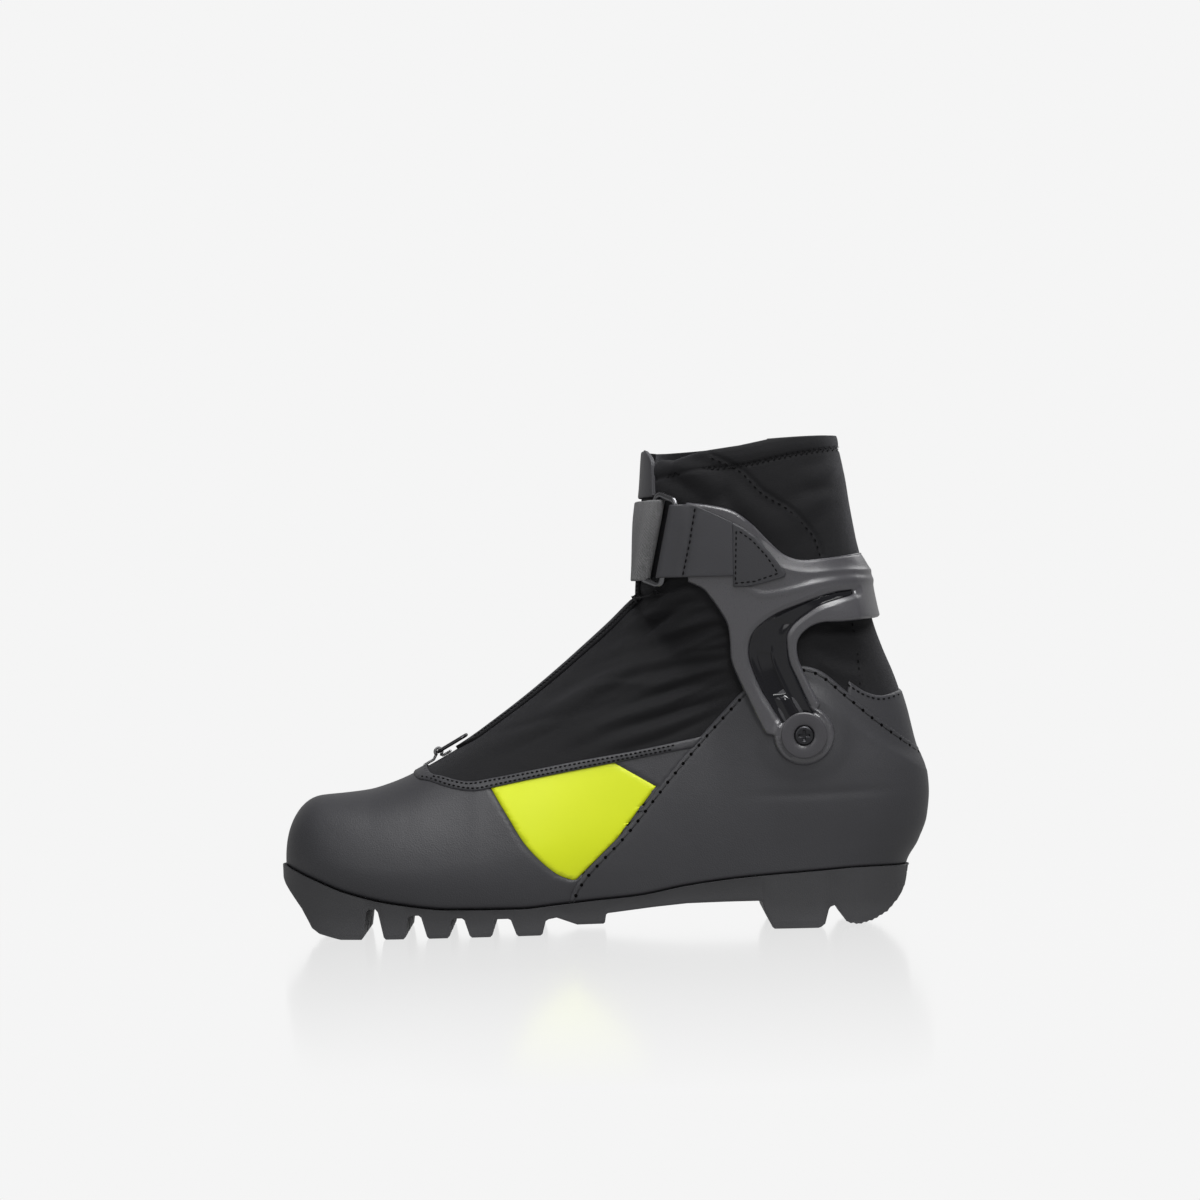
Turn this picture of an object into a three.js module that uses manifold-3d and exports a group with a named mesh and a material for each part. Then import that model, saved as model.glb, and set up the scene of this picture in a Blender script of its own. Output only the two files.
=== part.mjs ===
// Cross country skating boot, right foot. Millimetres, +Z up, toe toward -X, medial side toward -Y.
// The upper is one smooth body: a half width W(x, z) either side of a centre line. Every layer of the
// boot is an offset of that body, cut along side-view outlines, so panels, lining and cuff stay nested.
import * as THREE from 'three';
import { mergeVertices } from 'three/addons/utils/BufferGeometryUtils.js';
import Module from 'manifold-3d';

const wasm = await Module();
wasm.setup();

// ---- driving dimensions ----
const LENGTH = 301;            // sole tip to heel
const HEIGHT = 229;            // ground to the top of the collar
const BALL_WIDTH = 98;         // widest part of the forefoot upper
const SHELL = 2.0;             // thickness of the outer panels
const SLEEVE = 5.0;            // padded collar
const LINING = 2.4;            // foot lining
const STIFFENER = 0.8;         // toe puff and heel counter
const TRIM = 1.0;              // trims sewn on the panels
const GAP = 0.35;              // play between neighbouring pieces
const CUFF_WALL = 2.6;         // plastic cuff
const BOARD = 2.0;             // lasting board
const FOOTBED = 4.0;           // insole
const SOLE_LIP = 1.6;          // how far the sole stands proud of the upper
const BAR_RADIUS = 2.0;        // binding bar
const BAR_LENGTH = 42;
const GROOVE_WIDTH = 8;        // guide grooves in the sole
const GROOVE_DEPTH = 6;
const GROOVE_OFFSET = 13;      // groove centre from the middle of the sole
const SHANK_WIDTH = 24;
const SHANK_THICK = 2.0;
const BUSH_RADIUS = 4.4;       // ankle pivot bush
const SCREW_RADIUS = 2.4;
const CAP_RADIUS = 10.7;
const CAP_THICK = 1.5;
const HEAD_RADIUS = 4.3;
const NUT_RADIUS = 6.5;
const STRAP_WIDTH = 37;
const STRAP_THICK = 1.6;
const WIRE = 1.5;              // radius of the strap ring wire
const GAITER_WIRE = 0.8;
const FLEX_FORWARD = 18;       // degrees the cuff leans over the toe
const FLEX_BACK = 6;
const AROUND = 32;             // facets round the body
const UP = 16;                 // facets from sole to rim

// everything drawn below was measured on a boot of this length, height and width
const kx = LENGTH / 301;
const kz = HEIGHT / 229;
const ky = BALL_WIDTH / 98;
const rad = Math.PI / 180;

// ---- small helpers ----
const scaled = (points) => points.map(([x, z]) => [x * kx, z * kz]);

// smooth monotone curve through points, as a function of the first coordinate
function profile(points) {
  const n = points.length;
  const step = (i) => (points[i + 1][1] - points[i][1]) / (points[i + 1][0] - points[i][0]);
  const slope = points.map((p, i) => {
    if (i === 0) return step(0);
    if (i === n - 1) return step(n - 2);
    const a = step(i - 1);
    const b = step(i);
    return a * b <= 0 ? 0 : 2 * a * b / (a + b);
  });
  return (x) => {
    let i = 0;
    while (i < n - 2 && x > points[i + 1][0]) i += 1;
    const [x0, y0] = points[i];
    const [x1, y1] = points[i + 1];
    const h = x1 - x0;
    const u = Math.min(1, Math.max(0, (x - x0) / h));
    const a = y0 * (1 + 2 * u) * (1 - u) ** 2 + y1 * u * u * (3 - 2 * u);
    return a + h * u * (1 - u) * (slope[i] * (1 - u) - slope[i + 1] * u);
  };
}

// smooth open line through points
function smooth(points, count = 4) {
  const curve = new THREE.CatmullRomCurve3(points.map(([x, z]) => new THREE.Vector3(x, z, 0)), false, 'centripetal');
  return curve.getPoints(count * (points.length - 1)).map((p) => [p.x, p.y]);
}

function solid(geometry) {
  const bare = geometry.index ? geometry : geometry.clone();
  bare.deleteAttribute('normal');
  bare.deleteAttribute('uv');
  const merged = mergeVertices(bare, 1e-4);
  return new wasm.Manifold(new wasm.Mesh({
    numProp: 3,
    vertProperties: new Float32Array(merged.attributes.position.array),
    triVerts: new Uint32Array(merged.index.array),
  }));
}

function geometryOf(body) {
  const { vertProperties, triVerts } = body.getMesh();
  const geometry = new THREE.BufferGeometry();
  geometry.setAttribute('position', new THREE.BufferAttribute(new Float32Array(vertProperties), 3));
  geometry.setIndex(new THREE.BufferAttribute(new Uint32Array(triVerts), 1));
  return geometry;
}

const area2 = (points) => points.reduce((sum, [x, z], i) => {
  const [u, w] = points[(i + 1) % points.length];
  return sum + x * w - u * z;
}, 0);

// outline moved outward by a distance (inward when negative)
function grow(points, distance) {
  const ring = area2(points) > 0 ? points : [...points].reverse();
  return ring.map(([x, z], i) => {
    const [px, pz] = ring[(i + ring.length - 1) % ring.length];
    const [nx, nz] = ring[(i + 1) % ring.length];
    const a = new THREE.Vector2(x - px, z - pz).normalize();
    const b = new THREE.Vector2(nx - x, nz - z).normalize();
    const out = new THREE.Vector2(a.y + b.y, -a.x - b.x).normalize();
    const lift = distance / Math.max(0.5, out.dot(new THREE.Vector2(a.y, -a.x)));
    return [x + out.x * lift, z + out.y * lift];
  });
}

// a side-view outline as a solid that runs across the boot
function across(points, y0 = -90, y1 = 90) {
  const shape = new THREE.Shape(points.map(([x, z]) => new THREE.Vector2(x, z)));
  const geometry = new THREE.ExtrudeGeometry(shape, { depth: y1 - y0, bevelEnabled: false });
  geometry.rotateX(Math.PI / 2);
  geometry.translate(0, y1, 0);
  return solid(geometry);
}

// a plan-view outline as an upright solid
function upright(points, z0, z1) {
  const shape = new THREE.Shape(points.map(([x, y]) => new THREE.Vector2(x, y)));
  const geometry = new THREE.ExtrudeGeometry(shape, { depth: z1 - z0, bevelEnabled: false });
  geometry.translate(0, 0, z0);
  return solid(geometry);
}

// a disc or tube about a crosswise axis at x, z, from y0 to y1
function crosswise(x, z, y0, y1, radius, bore = 0) {
  const low = Math.min(y0, y1);
  const high = Math.max(y0, y1);
  const ring = [[bore, low], [radius, low], [radius, high], [bore, high], [bore, low]];
  const geometry = new THREE.LatheGeometry(ring.map(([r, y]) => new THREE.Vector2(r, y)), 18);
  geometry.translate(x, 0, z);
  return solid(geometry);
}

const roundSection = (radius, sides = 8) => Array.from({ length: sides }, (_, i) => {
  const angle = 2 * Math.PI * i / sides;
  return [radius * Math.cos(angle), radius * Math.sin(angle)];
});

const largest = (body) => body.decompose().reduce((best, b) => (b.volume() > best.volume() ? b : best));

// ---- the body of the upper ----
const TOE = -150.5 * kx;
const BALL = -60 * kx;
const RIM_FRONT = [21.5 * kx, 222 * kz];
const PIVOT = [91.3 * kx, 89.1 * kz];
const SILL = 4 * ky;                         // small inward turn of the upper at the sole

const feather = profile(scaled([[-151, 34], [-138.4, 28.5], [-119.7, 21.2], [-98.8, 16.2], [-72.7, 13],
  [-41.1, 12.6], [-23, 14], [-9.4, 15.2], [13.6, 17], [36.2, 21], [67, 24.5], [87.7, 26], [118.5, 27.5],
  [151, 26.5]]));
const toeTop = profile(scaled([[-151, 62], [-132.4, 65.5], [-121.6, 66.3], [-110.8, 67.5], [-102.2, 69.8],
  [-93.2, 73.2], [-81.8, 79], [-65.6, 88.2], [-49.8, 99.1], [-35, 110.1], [-21.5, 121], [-8.6, 132],
  [3.9, 143], [14.5, 153.1], [22, 159], [30, 163], [60, 165], [120, 165]]));
const shinLine = profile(scaled([[0, 46], [60, 44], [100, 36], [130, 25], [153, 16.5], [170, 17.5],
  [188, 18.4], [205, 20.5], [222, 22], [235, 24]]).map(([z, x]) => [z, x]));
const heelLine = profile([[0, 138], [27, 139.4], [38, 145.3], [49.2, 149.3], [60.5, 150.3], [71.8, 149.2],
  [83.2, 145.5], [100.1, 141.6], [111.5, 138.2], [117.2, 136.2], [128.6, 131.6], [139.9, 127.8],
  [151.3, 125.3], [168.2, 122.5], [180, 119.8], [196.7, 116.6], [208, 115], [219.4, 113], [235, 110.5]]
  .map(([z, x]) => [z * kz, x * kx]));
const shin = (z) => shinLine(z);
const calf = profile([[0, 33], [27, 33.5], [60, 35.5], [90, 35], [120, 34.5], [150, 37.5], [180, 41.5],
  [210, 44], [235, 44.5]].map(([z, w]) => [z * kz, w * ky]));
const waist = profile([[-60, 49], [-40, 47], [-20, 43], [0, 39.5], [20, 36.5], [40, 35], [60, 34],
  [100, 33], [118, 20], [124, 0]].map(([x, w]) => [x * kx, w * ky]));
const fullness = profile([[-151, 3], [-100, 2.6], [-40, 1.9], [40, 1.8]].map(([x, q]) => [x * kx, q]));
const middle = profile([[-151, -7], [-110, -3], [-60, 2], [-10, 1], [30, 0], [150, 0]]
  .map(([x, y]) => [x * kx, y * ky]));

function ridge(x) {
  const back = (TOE + 18 * kx - x) / (18 * kx);
  if (back <= 0) return toeTop(x);
  const low = feather(x);
  return low + (toeTop(x) - low) * Math.max(0, 1 - back ** 2.6) ** (1 / 2.4);
}

function plan(x) {
  if (x >= BALL) return waist(x);
  const out = Math.min(1, (BALL - x) / (BALL - TOE));
  return waist(BALL) * (1 - out ** 2.3) ** (1 / 2.1);
}

function footHalf(x, z) {
  if (x <= TOE || x >= 124 * kx) return 0;
  const low = feather(x);
  const rise = (z - low) / Math.max(1e-6, ridge(x) - low);
  if (rise >= 1) return 0;
  const round = rise > 0 ? Math.sqrt(1 - rise ** fullness(x)) : 1;
  return plan(x) * round * (1 - SILL / 50 * Math.max(0, 1 - rise / 0.3) ** 2);
}

function shaftHalf(x, z) {
  const front = shin(z);
  const back = heelLine(z);
  const out = Math.abs((2 * x - front - back) / (back - front));
  return out >= 1 ? 0 : calf(z) * (1 - out ** 2.4) ** (1 / 2.2);
}

const halfWidth = (x, z) => (footHalf(x, z) ** 8 + shaftHalf(x, z) ** 8) ** (1 / 8);

// the front and the back line of the side view, as points by distance along them
function alongLine(points) {
  const run = [0];
  for (let i = 1; i < points.length; i += 1) {
    run.push(run[i - 1] + Math.hypot(points[i][0] - points[i - 1][0], points[i][1] - points[i - 1][1]));
  }
  return (share) => {
    const want = Math.min(1, Math.max(0, share)) * run[run.length - 1];
    let i = 0;
    while (i < run.length - 2 && run[i + 1] < want) i += 1;
    const u = (want - run[i]) / (run[i + 1] - run[i]);
    return [0, 1].map((k) => points[i][k] + u * (points[i + 1][k] - points[i][k]));
  };
}

const crease = 153.1 * kz;
const rimTop = 222 * kz;
const frontPoints = [];
for (let i = 0; i <= 160; i += 1) {
  const x = TOE + (shin(crease) - TOE) * (i / 160) ** 3;
  frontPoints.push([x, Math.min(crease, i === 0 ? feather(x) : ridge(x))]);
}
for (let i = 1; i <= 20; i += 1) {
  const z = crease + (rimTop - crease) * i / 20;
  frontPoints.push([shin(z), z]);
}
const backPoints = [];
const heelFoot = feather(139 * kx);
const rimBack = 228 * kz;
for (let i = 0; i <= 60; i += 1) {
  const z = heelFoot + (rimBack - heelFoot) * i / 60;
  backPoints.push([heelLine(z), z]);
}
const frontAt = alongLine(frontPoints);
const backAt = alongLine(backPoints);

// a point of the body: theta runs round from the toe by the medial side, t from sole to rim
function bodyPoint(theta, t, lift = null) {
  const [x0, z0] = frontAt(t);
  const [x1, z1] = backAt(t);
  const share = (1 - Math.cos(theta)) / 2;
  const x = x0 + (x1 - x0) * share;
  const [a0, b0] = frontAt(0);
  const [a1, b1] = backAt(0);
  const under = feather(a0 + (a1 - a0) * share) - (b0 + (b1 - b0) * share);
  const z = z0 + (z1 - z0) * share + under * (1 - t) ** 3;
  const side = Math.sin(theta) >= 0 ? -1 : 1;
  const width = halfWidth(x, z) + (lift ? lift(x, z) : 0);
  return new THREE.Vector3(x, middle(x) + side * width, z);
}

function bodyNormal(theta, t) {
  const h = 2e-3;
  const low = Math.max(0, t - h);
  const high = Math.min(1, t + h);
  const round = bodyPoint(theta + 0.03, t).sub(bodyPoint(theta - 0.03, t));
  const up = bodyPoint(theta, high).sub(bodyPoint(theta, low));
  return round.cross(up).normalize();
}

// a closed shell between two offsets of the body, from one row of facets up to the rim
function shell(inner, outer, firstRow = 0, lift = null) {
  const position = [];
  const rows = UP - firstRow;
  for (const depth of [inner, outer]) {
    for (let j = 0; j <= rows; j += 1) {
      const t = (firstRow + j) / UP;
      for (let i = 0; i < AROUND; i += 1) {
        const theta = 2 * Math.PI * i / AROUND;
        const p = bodyPoint(theta, t, lift).addScaledVector(bodyNormal(theta, t), depth);
        position.push(p.x, p.y, p.z);
      }
    }
  }
  const layer = AROUND * (rows + 1);
  const at = (k, j, i) => k * layer + j * AROUND + (i % AROUND);
  const index = [];
  const quad = (a, b, c, d) => index.push(a, b, c, a, c, d);
  for (let i = 0; i < AROUND; i += 1) {
    for (let j = 0; j < rows; j += 1) {
      quad(at(1, j, i), at(1, j, i + 1), at(1, j + 1, i + 1), at(1, j + 1, i));
      quad(at(0, j, i), at(0, j + 1, i), at(0, j + 1, i + 1), at(0, j, i + 1));
    }
    quad(at(0, 0, i), at(0, 0, i + 1), at(1, 0, i + 1), at(1, 0, i));
    quad(at(1, rows, i), at(1, rows, i + 1), at(0, rows, i + 1), at(0, rows, i));
  }
  const geometry = new THREE.BufferGeometry();
  geometry.setAttribute('position', new THREE.BufferAttribute(new Float32Array(position), 3));
  geometry.setIndex(index);
  return solid(geometry);
}

// ---- seams of the side view ----
const ray = (degrees, radius) => [PIVOT[0] + radius * Math.cos(degrees * rad),
  PIVOT[1] + radius * Math.sin(degrees * rad)];

const COLLAR_FRONT = 141;      // direction from the pivot to the collar's front lower edge, degrees
const COLLAR_BACK = 38;
const COLLAR_RADIUS = 39;      // the collar's lower edge runs round the pivot
const COVER_TOP = COLLAR_FRONT + FLEX_FORWARD + 3;

const collarArc = Array.from({ length: 13 }, (_, i) => ray(COLLAR_BACK + (COLLAR_FRONT - COLLAR_BACK) * i / 12,
  COLLAR_RADIUS));
const collarOutline = [...collarArc, ray(COLLAR_FRONT, 140), [-60 * kx, 300], [200 * kx, 300],
  ray(COLLAR_BACK, 120)];

const quarterEdge = smooth(scaled([[-21, 11], [-14.7, 23.5], [7.4, 46.8], [31, 75.1], [54.6, 100.7], [65, 111],
  [78, 119], [90.9, 121], [100, 118.4], [112.6, 108], [127, 95.8], [142.7, 83.9], [160, 72]]));
const quarterOutline = [...quarterEdge, [175 * kx, 72 * kz], [175 * kx, 0], [-21 * kx, 0]];
const tabOutline = scaled([[116.8, 111.8], [120.9, 108.3], [127.5, 106.3], [134.6, 107.3], [146, 112],
  [160, 70], [116, 80]]);
const bandTop = scaled([[-87, 84], [-82, 75.2], [-76.3, 73.6], [-68, 71.5], [-62.6, 71], [-52.3, 72.5], [-13.1, 79.4],
  [15.2, 83.8], [33, 87]]);
const bandLow = scaled([[-94, 80], [-88.5, 73], [-81.9, 71.4], [-71.4, 68.2], [-60.9, 66.8], [-52.4, 68.2],
  [-34.2, 71.7], [15.1, 80.1], [29, 82.6]]);
const bandMiddle = bandTop.map(([x, z], i) => [(x + bandLow[i][0]) / 2, (z + bandLow[i][1]) / 2]);
const coverOutline = [...bandMiddle, [60 * kx, 91 * kz], [75 * kx, 94 * kz],
  ray(COVER_TOP, 18), ray(COVER_TOP, 170)];
const limeOutline = smooth(scaled([[-53.1, 67.4], [-26, 72], [0.3, 75.8]]), 2)
  .concat(scaled([[20, 63.5], [4.2, 43.2], [-15.5, 24.5]]))
  .concat(smooth(scaled([[-15.5, 24.5], [-23.8, 28], [-37.2, 41], [-45.3, 54], [-53.1, 67.4]])).slice(1, -1));
const vampOutline = [[-175 * kx, 0], [80 * kx, 0], [80 * kx, 95 * kz], [60 * kx, 91 * kz],
  ...[...bandMiddle].reverse(), [-175 * kx, 84 * kz]];

// ---- materials ----
const look = (hex, roughness, metalness = 0) => new THREE.MeshStandardMaterial({ color: hex, roughness, metalness });
const leather = look(0x3f3f43, 0.55);
const fabric = look(0x1d1d20, 0.85);
const lining = look(0x17171a, 0.9);
const cuffGrey = look(0x5e5d63, 0.5);
const glossBlack = look(0x16161c, 0.15);
const rubber = look(0x48484a, 0.7);
const lime = look(0xcfda00, 0.6);
const webbing = look(0x626264, 0.8);
const steel = look(0xa8abb0, 0.3, 1);
const blackWire = look(0x222226, 0.4, 0.6);
const fibre = look(0x6b6358, 0.9);

const boot = new THREE.Group();
function piece(name, body, material) {
  const mesh = new THREE.Mesh(geometryOf(largest(body)), material);
  mesh.name = name;
  boot.add(mesh);
}

const outerShell = shell(-SHELL, 0);
const quarterCut = across(grow(quarterOutline, GAP));
const limeCut = across(grow(limeOutline, GAP));
const coverBody = across(coverOutline);
const collarCut = across(grow(collarOutline, GAP));
const [px, pz] = PIVOT;
const pivotFace = halfWidth(px, pz);

// panels of one layer, butted along their seams
function panels() {
  const hole = crosswise(px, pz, -90, 90, BUSH_RADIUS + GAP);
  const quarter = outerShell.intersect(across(quarterOutline)).subtract(hole);
  const tab = outerShell.intersect(across(tabOutline)).subtract(quarterCut);
  const tabCut = across(grow(tabOutline, GAP));
  const vamp = outerShell.intersect(across(grow(vampOutline, -GAP / 2))).subtract(quarterCut).subtract(limeCut);
  const cover = outerShell.intersect(across(grow(coverOutline, -GAP / 2))).subtract(quarterCut)
    .subtract(limeCut);
  const gusset = outerShell.subtract(quarterCut).subtract(tabCut).subtract(collarCut)
    .subtract(across(grow(coverOutline, GAP / 2))).subtract(across(grow(vampOutline, GAP / 2)));
  piece('heel_quarter', quarter, leather);
  piece('heel_tab', tab, leather);
  piece('vamp', vamp, leather);
  piece('instep_cover', cover, fabric);
  piece('ankle_gusset', gusset, fabric);
  for (const [side, y0, y1] of [['medial', -90, 0], ['lateral', 0, 90]]) {
    const panel = outerShell.intersect(across(limeOutline, y0, y1)).subtract(quarterCut);
    piece(`lime_panel_${side}`, panel, lime);
  }
}

// band sewn over the seam between vamp and cover
function eyestayBand() {
  const outline = [...smooth(bandLow, 2), ...smooth(bandTop, 2).reverse()];
  const band = shell(GAP, GAP + TRIM).intersect(across(outline)).subtract(quarterCut);
  piece('eyestay_band', band, leather);
}

// inner stiffeners and lining
function innerLayers() {
  const top = -SHELL - GAP;
  const stiff = shell(top - STIFFENER, top);
  const toe = across([[-175 * kx, 0], [-118 * kx, 0], [-108 * kx, 90 * kz], [-175 * kx, 90 * kz]]);
  piece('toe_puff', stiff.intersect(toe), fibre);
  const heel = across(scaled([[80, 0], [170, 0], [170, 74], [120, 78], [92, 60]]));
  piece('heel_counter', stiff.intersect(heel), fibre);
  const inner = top - STIFFENER - GAP;
  const insideTop = [...collarArc.map(([x, z]) => [x, z - 5]), ray(COVER_TOP, 30), ray(COVER_TOP, 170),
    [-175 * kx, 92 * kz], [-175 * kx, 0], [170 * kx, 0], [170 * kx, 100 * kz]];
  const nutHole = crosswise(px, pz, -90, 90, NUT_RADIUS + GAP);
  piece('lower_lining', shell(inner - LINING, inner).intersect(across(insideTop)).subtract(nutHole), lining);
}

// plan outline of the body at the sole, moved in or out
function soleOutline(distance) {
  const ring = [];
  for (let i = 0; i < 2 * AROUND; i += 1) {
    const p = bodyPoint(Math.PI * i / AROUND, 0);
    ring.push([p.x, p.y]);
  }
  return grow(ring, distance);
}

// side-view band that follows the sole joint
function featherBand(x0, x1, low, high) {
  const xs = Array.from({ length: 41 }, (_, i) => x0 + (x1 - x0) * i / 40);
  return [...xs.map((x) => [x, feather(x) + low]), ...xs.reverse().map((x) => [x, feather(x) + high])];
}

// underside of the sole with its lugs, as a side-view outline from toe to heel
const LUGS = [[-139, -113.5], [-103.5, -94], [-83.5, -74], [-64, -54.5], [-42.5, -31.5]];
function soleUnderside() {
  const line = [[-150.5, 25], [-148, 22], [-142.4, 12], [-138.5, 5], [-133, 1.6], [-126, 0]];
  const tops = [14, 10.5, 8.5, 8];
  for (let i = 0; i < LUGS.length; i += 1) {
    const [start, end] = LUGS[i];
    if (i > 0) line.push([start, 0]);
    line.push([end, 0]);
    if (i < tops.length) line.push([end + 1.8, tops[i]], [LUGS[i + 1][0] - 2.4, tops[i]]);
  }
  line.push([-29, 7.5], [-25, 8.2], [-15, 4.4], [-2.3, 4.4], [-1.7, 9], [20.8, 11.4], [36, 12.6], [70.4, 13],
    [72.1, 6.5], [75.6, 0], [96.7, 0], [99.5, 1.6], [101.5, 9.2], [103.8, 10], [109.6, 2], [115.1, 0.8],
    [122, 2.4], [129, 6], [135, 12], [138, 17], [139.8, 26]);
  return scaled(line);
}

function sole() {
  const end = 141 * kx;
  const start = TOE - SOLE_LIP;
  const topLine = featherBand(start, end, -GAP, 0).slice(0, 41).reverse();
  const side = [...soleUnderside(), ...topLine];
  let body = across(side).intersect(upright(soleOutline(SOLE_LIP), -1, 60 * kz));
  for (const y of [-GROOVE_OFFSET, GROOVE_OFFSET]) {
    const groove = upright([[-170, y - GROOVE_WIDTH / 2], [170, y - GROOVE_WIDTH / 2],
      [170, y + GROOVE_WIDTH / 2], [-170, y + GROOVE_WIDTH / 2]].map(([x, v]) => [x * kx, v]), -5, GROOVE_DEPTH);
    body = body.subtract(groove);
  }
  // pocket and bores of the binding bar
  const barX = -136.5 * kx;
  const barZ = 11.5 * kz;
  const barY = middle(barX);
  const pocket = across([[barX - 5, -5], [barX + 5, -5], [barX + 5, barZ + 5], [barX - 5, barZ + 5]],
    barY - 15, barY + 15);
  const bore = crosswise(barX, barZ, barY - BAR_LENGTH / 2 - GAP, barY + BAR_LENGTH / 2 + GAP, BAR_RADIUS + GAP);
  body = body.subtract(pocket).subtract(bore);
  piece('binding_bar', crosswise(barX, barZ, barY - BAR_LENGTH / 2, barY + BAR_LENGTH / 2, BAR_RADIUS), steel);
  // bed of the shank
  const from = -60 * kx;
  const to = 95 * kx;
  const bed = (play) => across(featherBand(from - play, to + play, -GAP * 2 - SHANK_THICK - play, play ? 5 : -GAP * 2),
    -SHANK_WIDTH / 2 - play, SHANK_WIDTH / 2 + play);
  piece('outsole', body.subtract(bed(GAP)), rubber);
  piece('shank', bed(0), steel);
}

function boards() {
  const inset = SHELL + STIFFENER + LINING + 4 * GAP + 1;
  const xs = [TOE, 150 * kx];
  const plate = (low, high) => across(featherBand(...xs, low, high)).intersect(
    upright(soleOutline(-inset), -1, 80 * kz));
  piece('lasting_board', plate(0, BOARD), fibre);
  piece('footbed', plate(BOARD + GAP, BOARD + GAP + FOOTBED), lining);
}

// padded collar of the shaft
function collar() {
  const body = shell(-SLEEVE, 0, 4).intersect(across(collarOutline));
  piece('collar_sleeve', body, fabric);
}

// extra width under the cuff arms, so that they clear the quarter at every angle of the ankle
function cuffLift(x, z) {
  const dx = x - px;
  const dz = z - pz;
  const r = Math.hypot(dx, dz);
  const fade = Math.min(1, Math.max(0, (82 - r) / 28));
  if (fade === 0) return 0;
  const here = halfWidth(x, z);
  let most = here;
  for (let k = 0; k <= 6; k += 1) {
    const turn = (-FLEX_BACK + (FLEX_FORWARD + FLEX_BACK) * k / 6) * rad;
    const u = px + dx * Math.cos(turn) - dz * Math.sin(turn);
    const w = pz + dx * Math.sin(turn) + dz * Math.cos(turn);
    most = Math.max(most, halfWidth(u, w));
  }
  const side = Math.min(1, here / (24 * ky));
  return (most - here + 0.6) * fade * fade * (3 - 2 * fade) * side * side;
}

const cuffTop = smooth(scaled([[40.5, 197.4], [50.7, 195.9], [60.9, 193.1], [69, 187.2], [76.9, 178.9], [83.9, 172.5],
  [91.1, 169.8], [101.2, 170.1], [123.3, 172.9]]), 3);
const cuffLow = smooth(scaled([[128.1, 142.1], [110.9, 141.1], [100.5, 140.9], [95.4, 139], [90.8, 135], [89.1, 130.5],
  [90, 123.3], [94.7, 111.9], [99, 103]]), 2);
const cuffFront = smooth(scaled([[74, 90], [70.9, 96.2], [66.5, 106], [62, 116], [59, 124.5], [58.5, 133.2],
  [57.6, 140.6], [54.7, 146.6], [50.7, 152.8], [47, 157.6], [40.5, 161]]), 2);
const HUB = 13.7;              // radius of the arm round the pivot
const hubArc = Array.from({ length: 13 }, (_, i) => ray(61 - 241 * i / 12, HUB));
const cuffOutline = [...cuffTop, [150 * kx, 173.5 * kz], [150 * kx, 142.5 * kz], ...cuffLow,
  ...hubArc, ...cuffFront];
const recessUpper = smooth(scaled([[115.3, 154.5], [105.9, 153.6], [90.6, 149], [80.3, 145.1], [73.9, 141.1],
  [69.7, 137.1], [67.7, 132.1], [67.5, 125.8], [72.3, 112], [78, 103.5]]), 2);
const recessLower = smooth(scaled([[93, 103.8], [88.3, 114.9], [85.1, 122.5], [84, 130.6], [84.1, 135.8],
  [87.2, 140.8], [93.6, 145.7], [100.7, 149.6], [115.3, 153.2]]), 2);
const recessOutline = [...recessUpper, ...recessLower];
const slotOutline = scaled([[71.2, 128.8], [77.1, 128.6], [83.2, 108.9], [79.2, 107.9]]);
const CUFF_IN = GAP + 0.15;
const CUFF_OUT = CUFF_IN + CUFF_WALL;

function cuff() {
  const layer = shell(CUFF_IN, CUFF_OUT, 2, cuffLift);
  const bushHole = crosswise(px, pz, -90, 90, BUSH_RADIUS + GAP);
  const frame = layer.intersect(across(cuffOutline)).subtract(across(recessOutline)).subtract(bushHole);
  piece('cuff_shell', frame, cuffGrey);
  const thin = shell(CUFF_IN, CUFF_OUT - 1.1, 2, cuffLift);
  const fill = grow(recessOutline, -GAP);
  for (const [side, y0, y1] of [['medial', -90, 0], ['lateral', 0, 90]]) {
    piece(`cuff_insert_${side}`, thin.intersect(across(fill, y0, y1)).subtract(across(slotOutline)), glossBlack);
  }
}

// bush, screw, cap and nut of each ankle pivot
function ankles() {
  const outer = pivotFace + cuffLift(px, pz) + CUFF_OUT;
  for (const [side, sign] of [['medial', -1], ['lateral', 1]]) {
    const part = (low, high, radius, bore) => crosswise(px, pz, sign * low, sign * high, radius, bore);
    const nutOut = pivotFace - SHELL - GAP - 0.4;
    const top = outer + 0.9;
    piece(`pivot_bush_${side}`, part(pivotFace - SHELL + 0.1, top, BUSH_RADIUS, SCREW_RADIUS + GAP), blackWire);
    piece(`pivot_cap_${side}`, part(top + GAP, top + GAP + CAP_THICK, CAP_RADIUS, HEAD_RADIUS + GAP), cuffGrey);
    const head = part(top + GAP, top + GAP + CAP_THICK + 0.4, HEAD_RADIUS, 0);
    const shaft = part(nutOut - 1, top + GAP + 0.2, SCREW_RADIUS, 0);
    piece(`pivot_screw_${side}`, head.add(shaft), steel);
    piece(`pivot_nut_${side}`, part(nutOut - 1.3, nutOut, NUT_RADIUS, SCREW_RADIUS + GAP), steel);
  }
}

// a point beside the body on one side, a given distance out along the surface's normal
function beside(x, z, distance, sign) {
  const h = 0.5;
  const dx = (halfWidth(x + h, z) - halfWidth(x - h, z)) / (2 * h);
  const dz = (halfWidth(x, z + h) - halfWidth(x, z - h)) / (2 * h);
  const normal = new THREE.Vector3(-dx, sign, -dz).normalize();
  return new THREE.Vector3(x, middle(x) + sign * halfWidth(x, z), z).addScaledVector(normal, distance);
}

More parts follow.
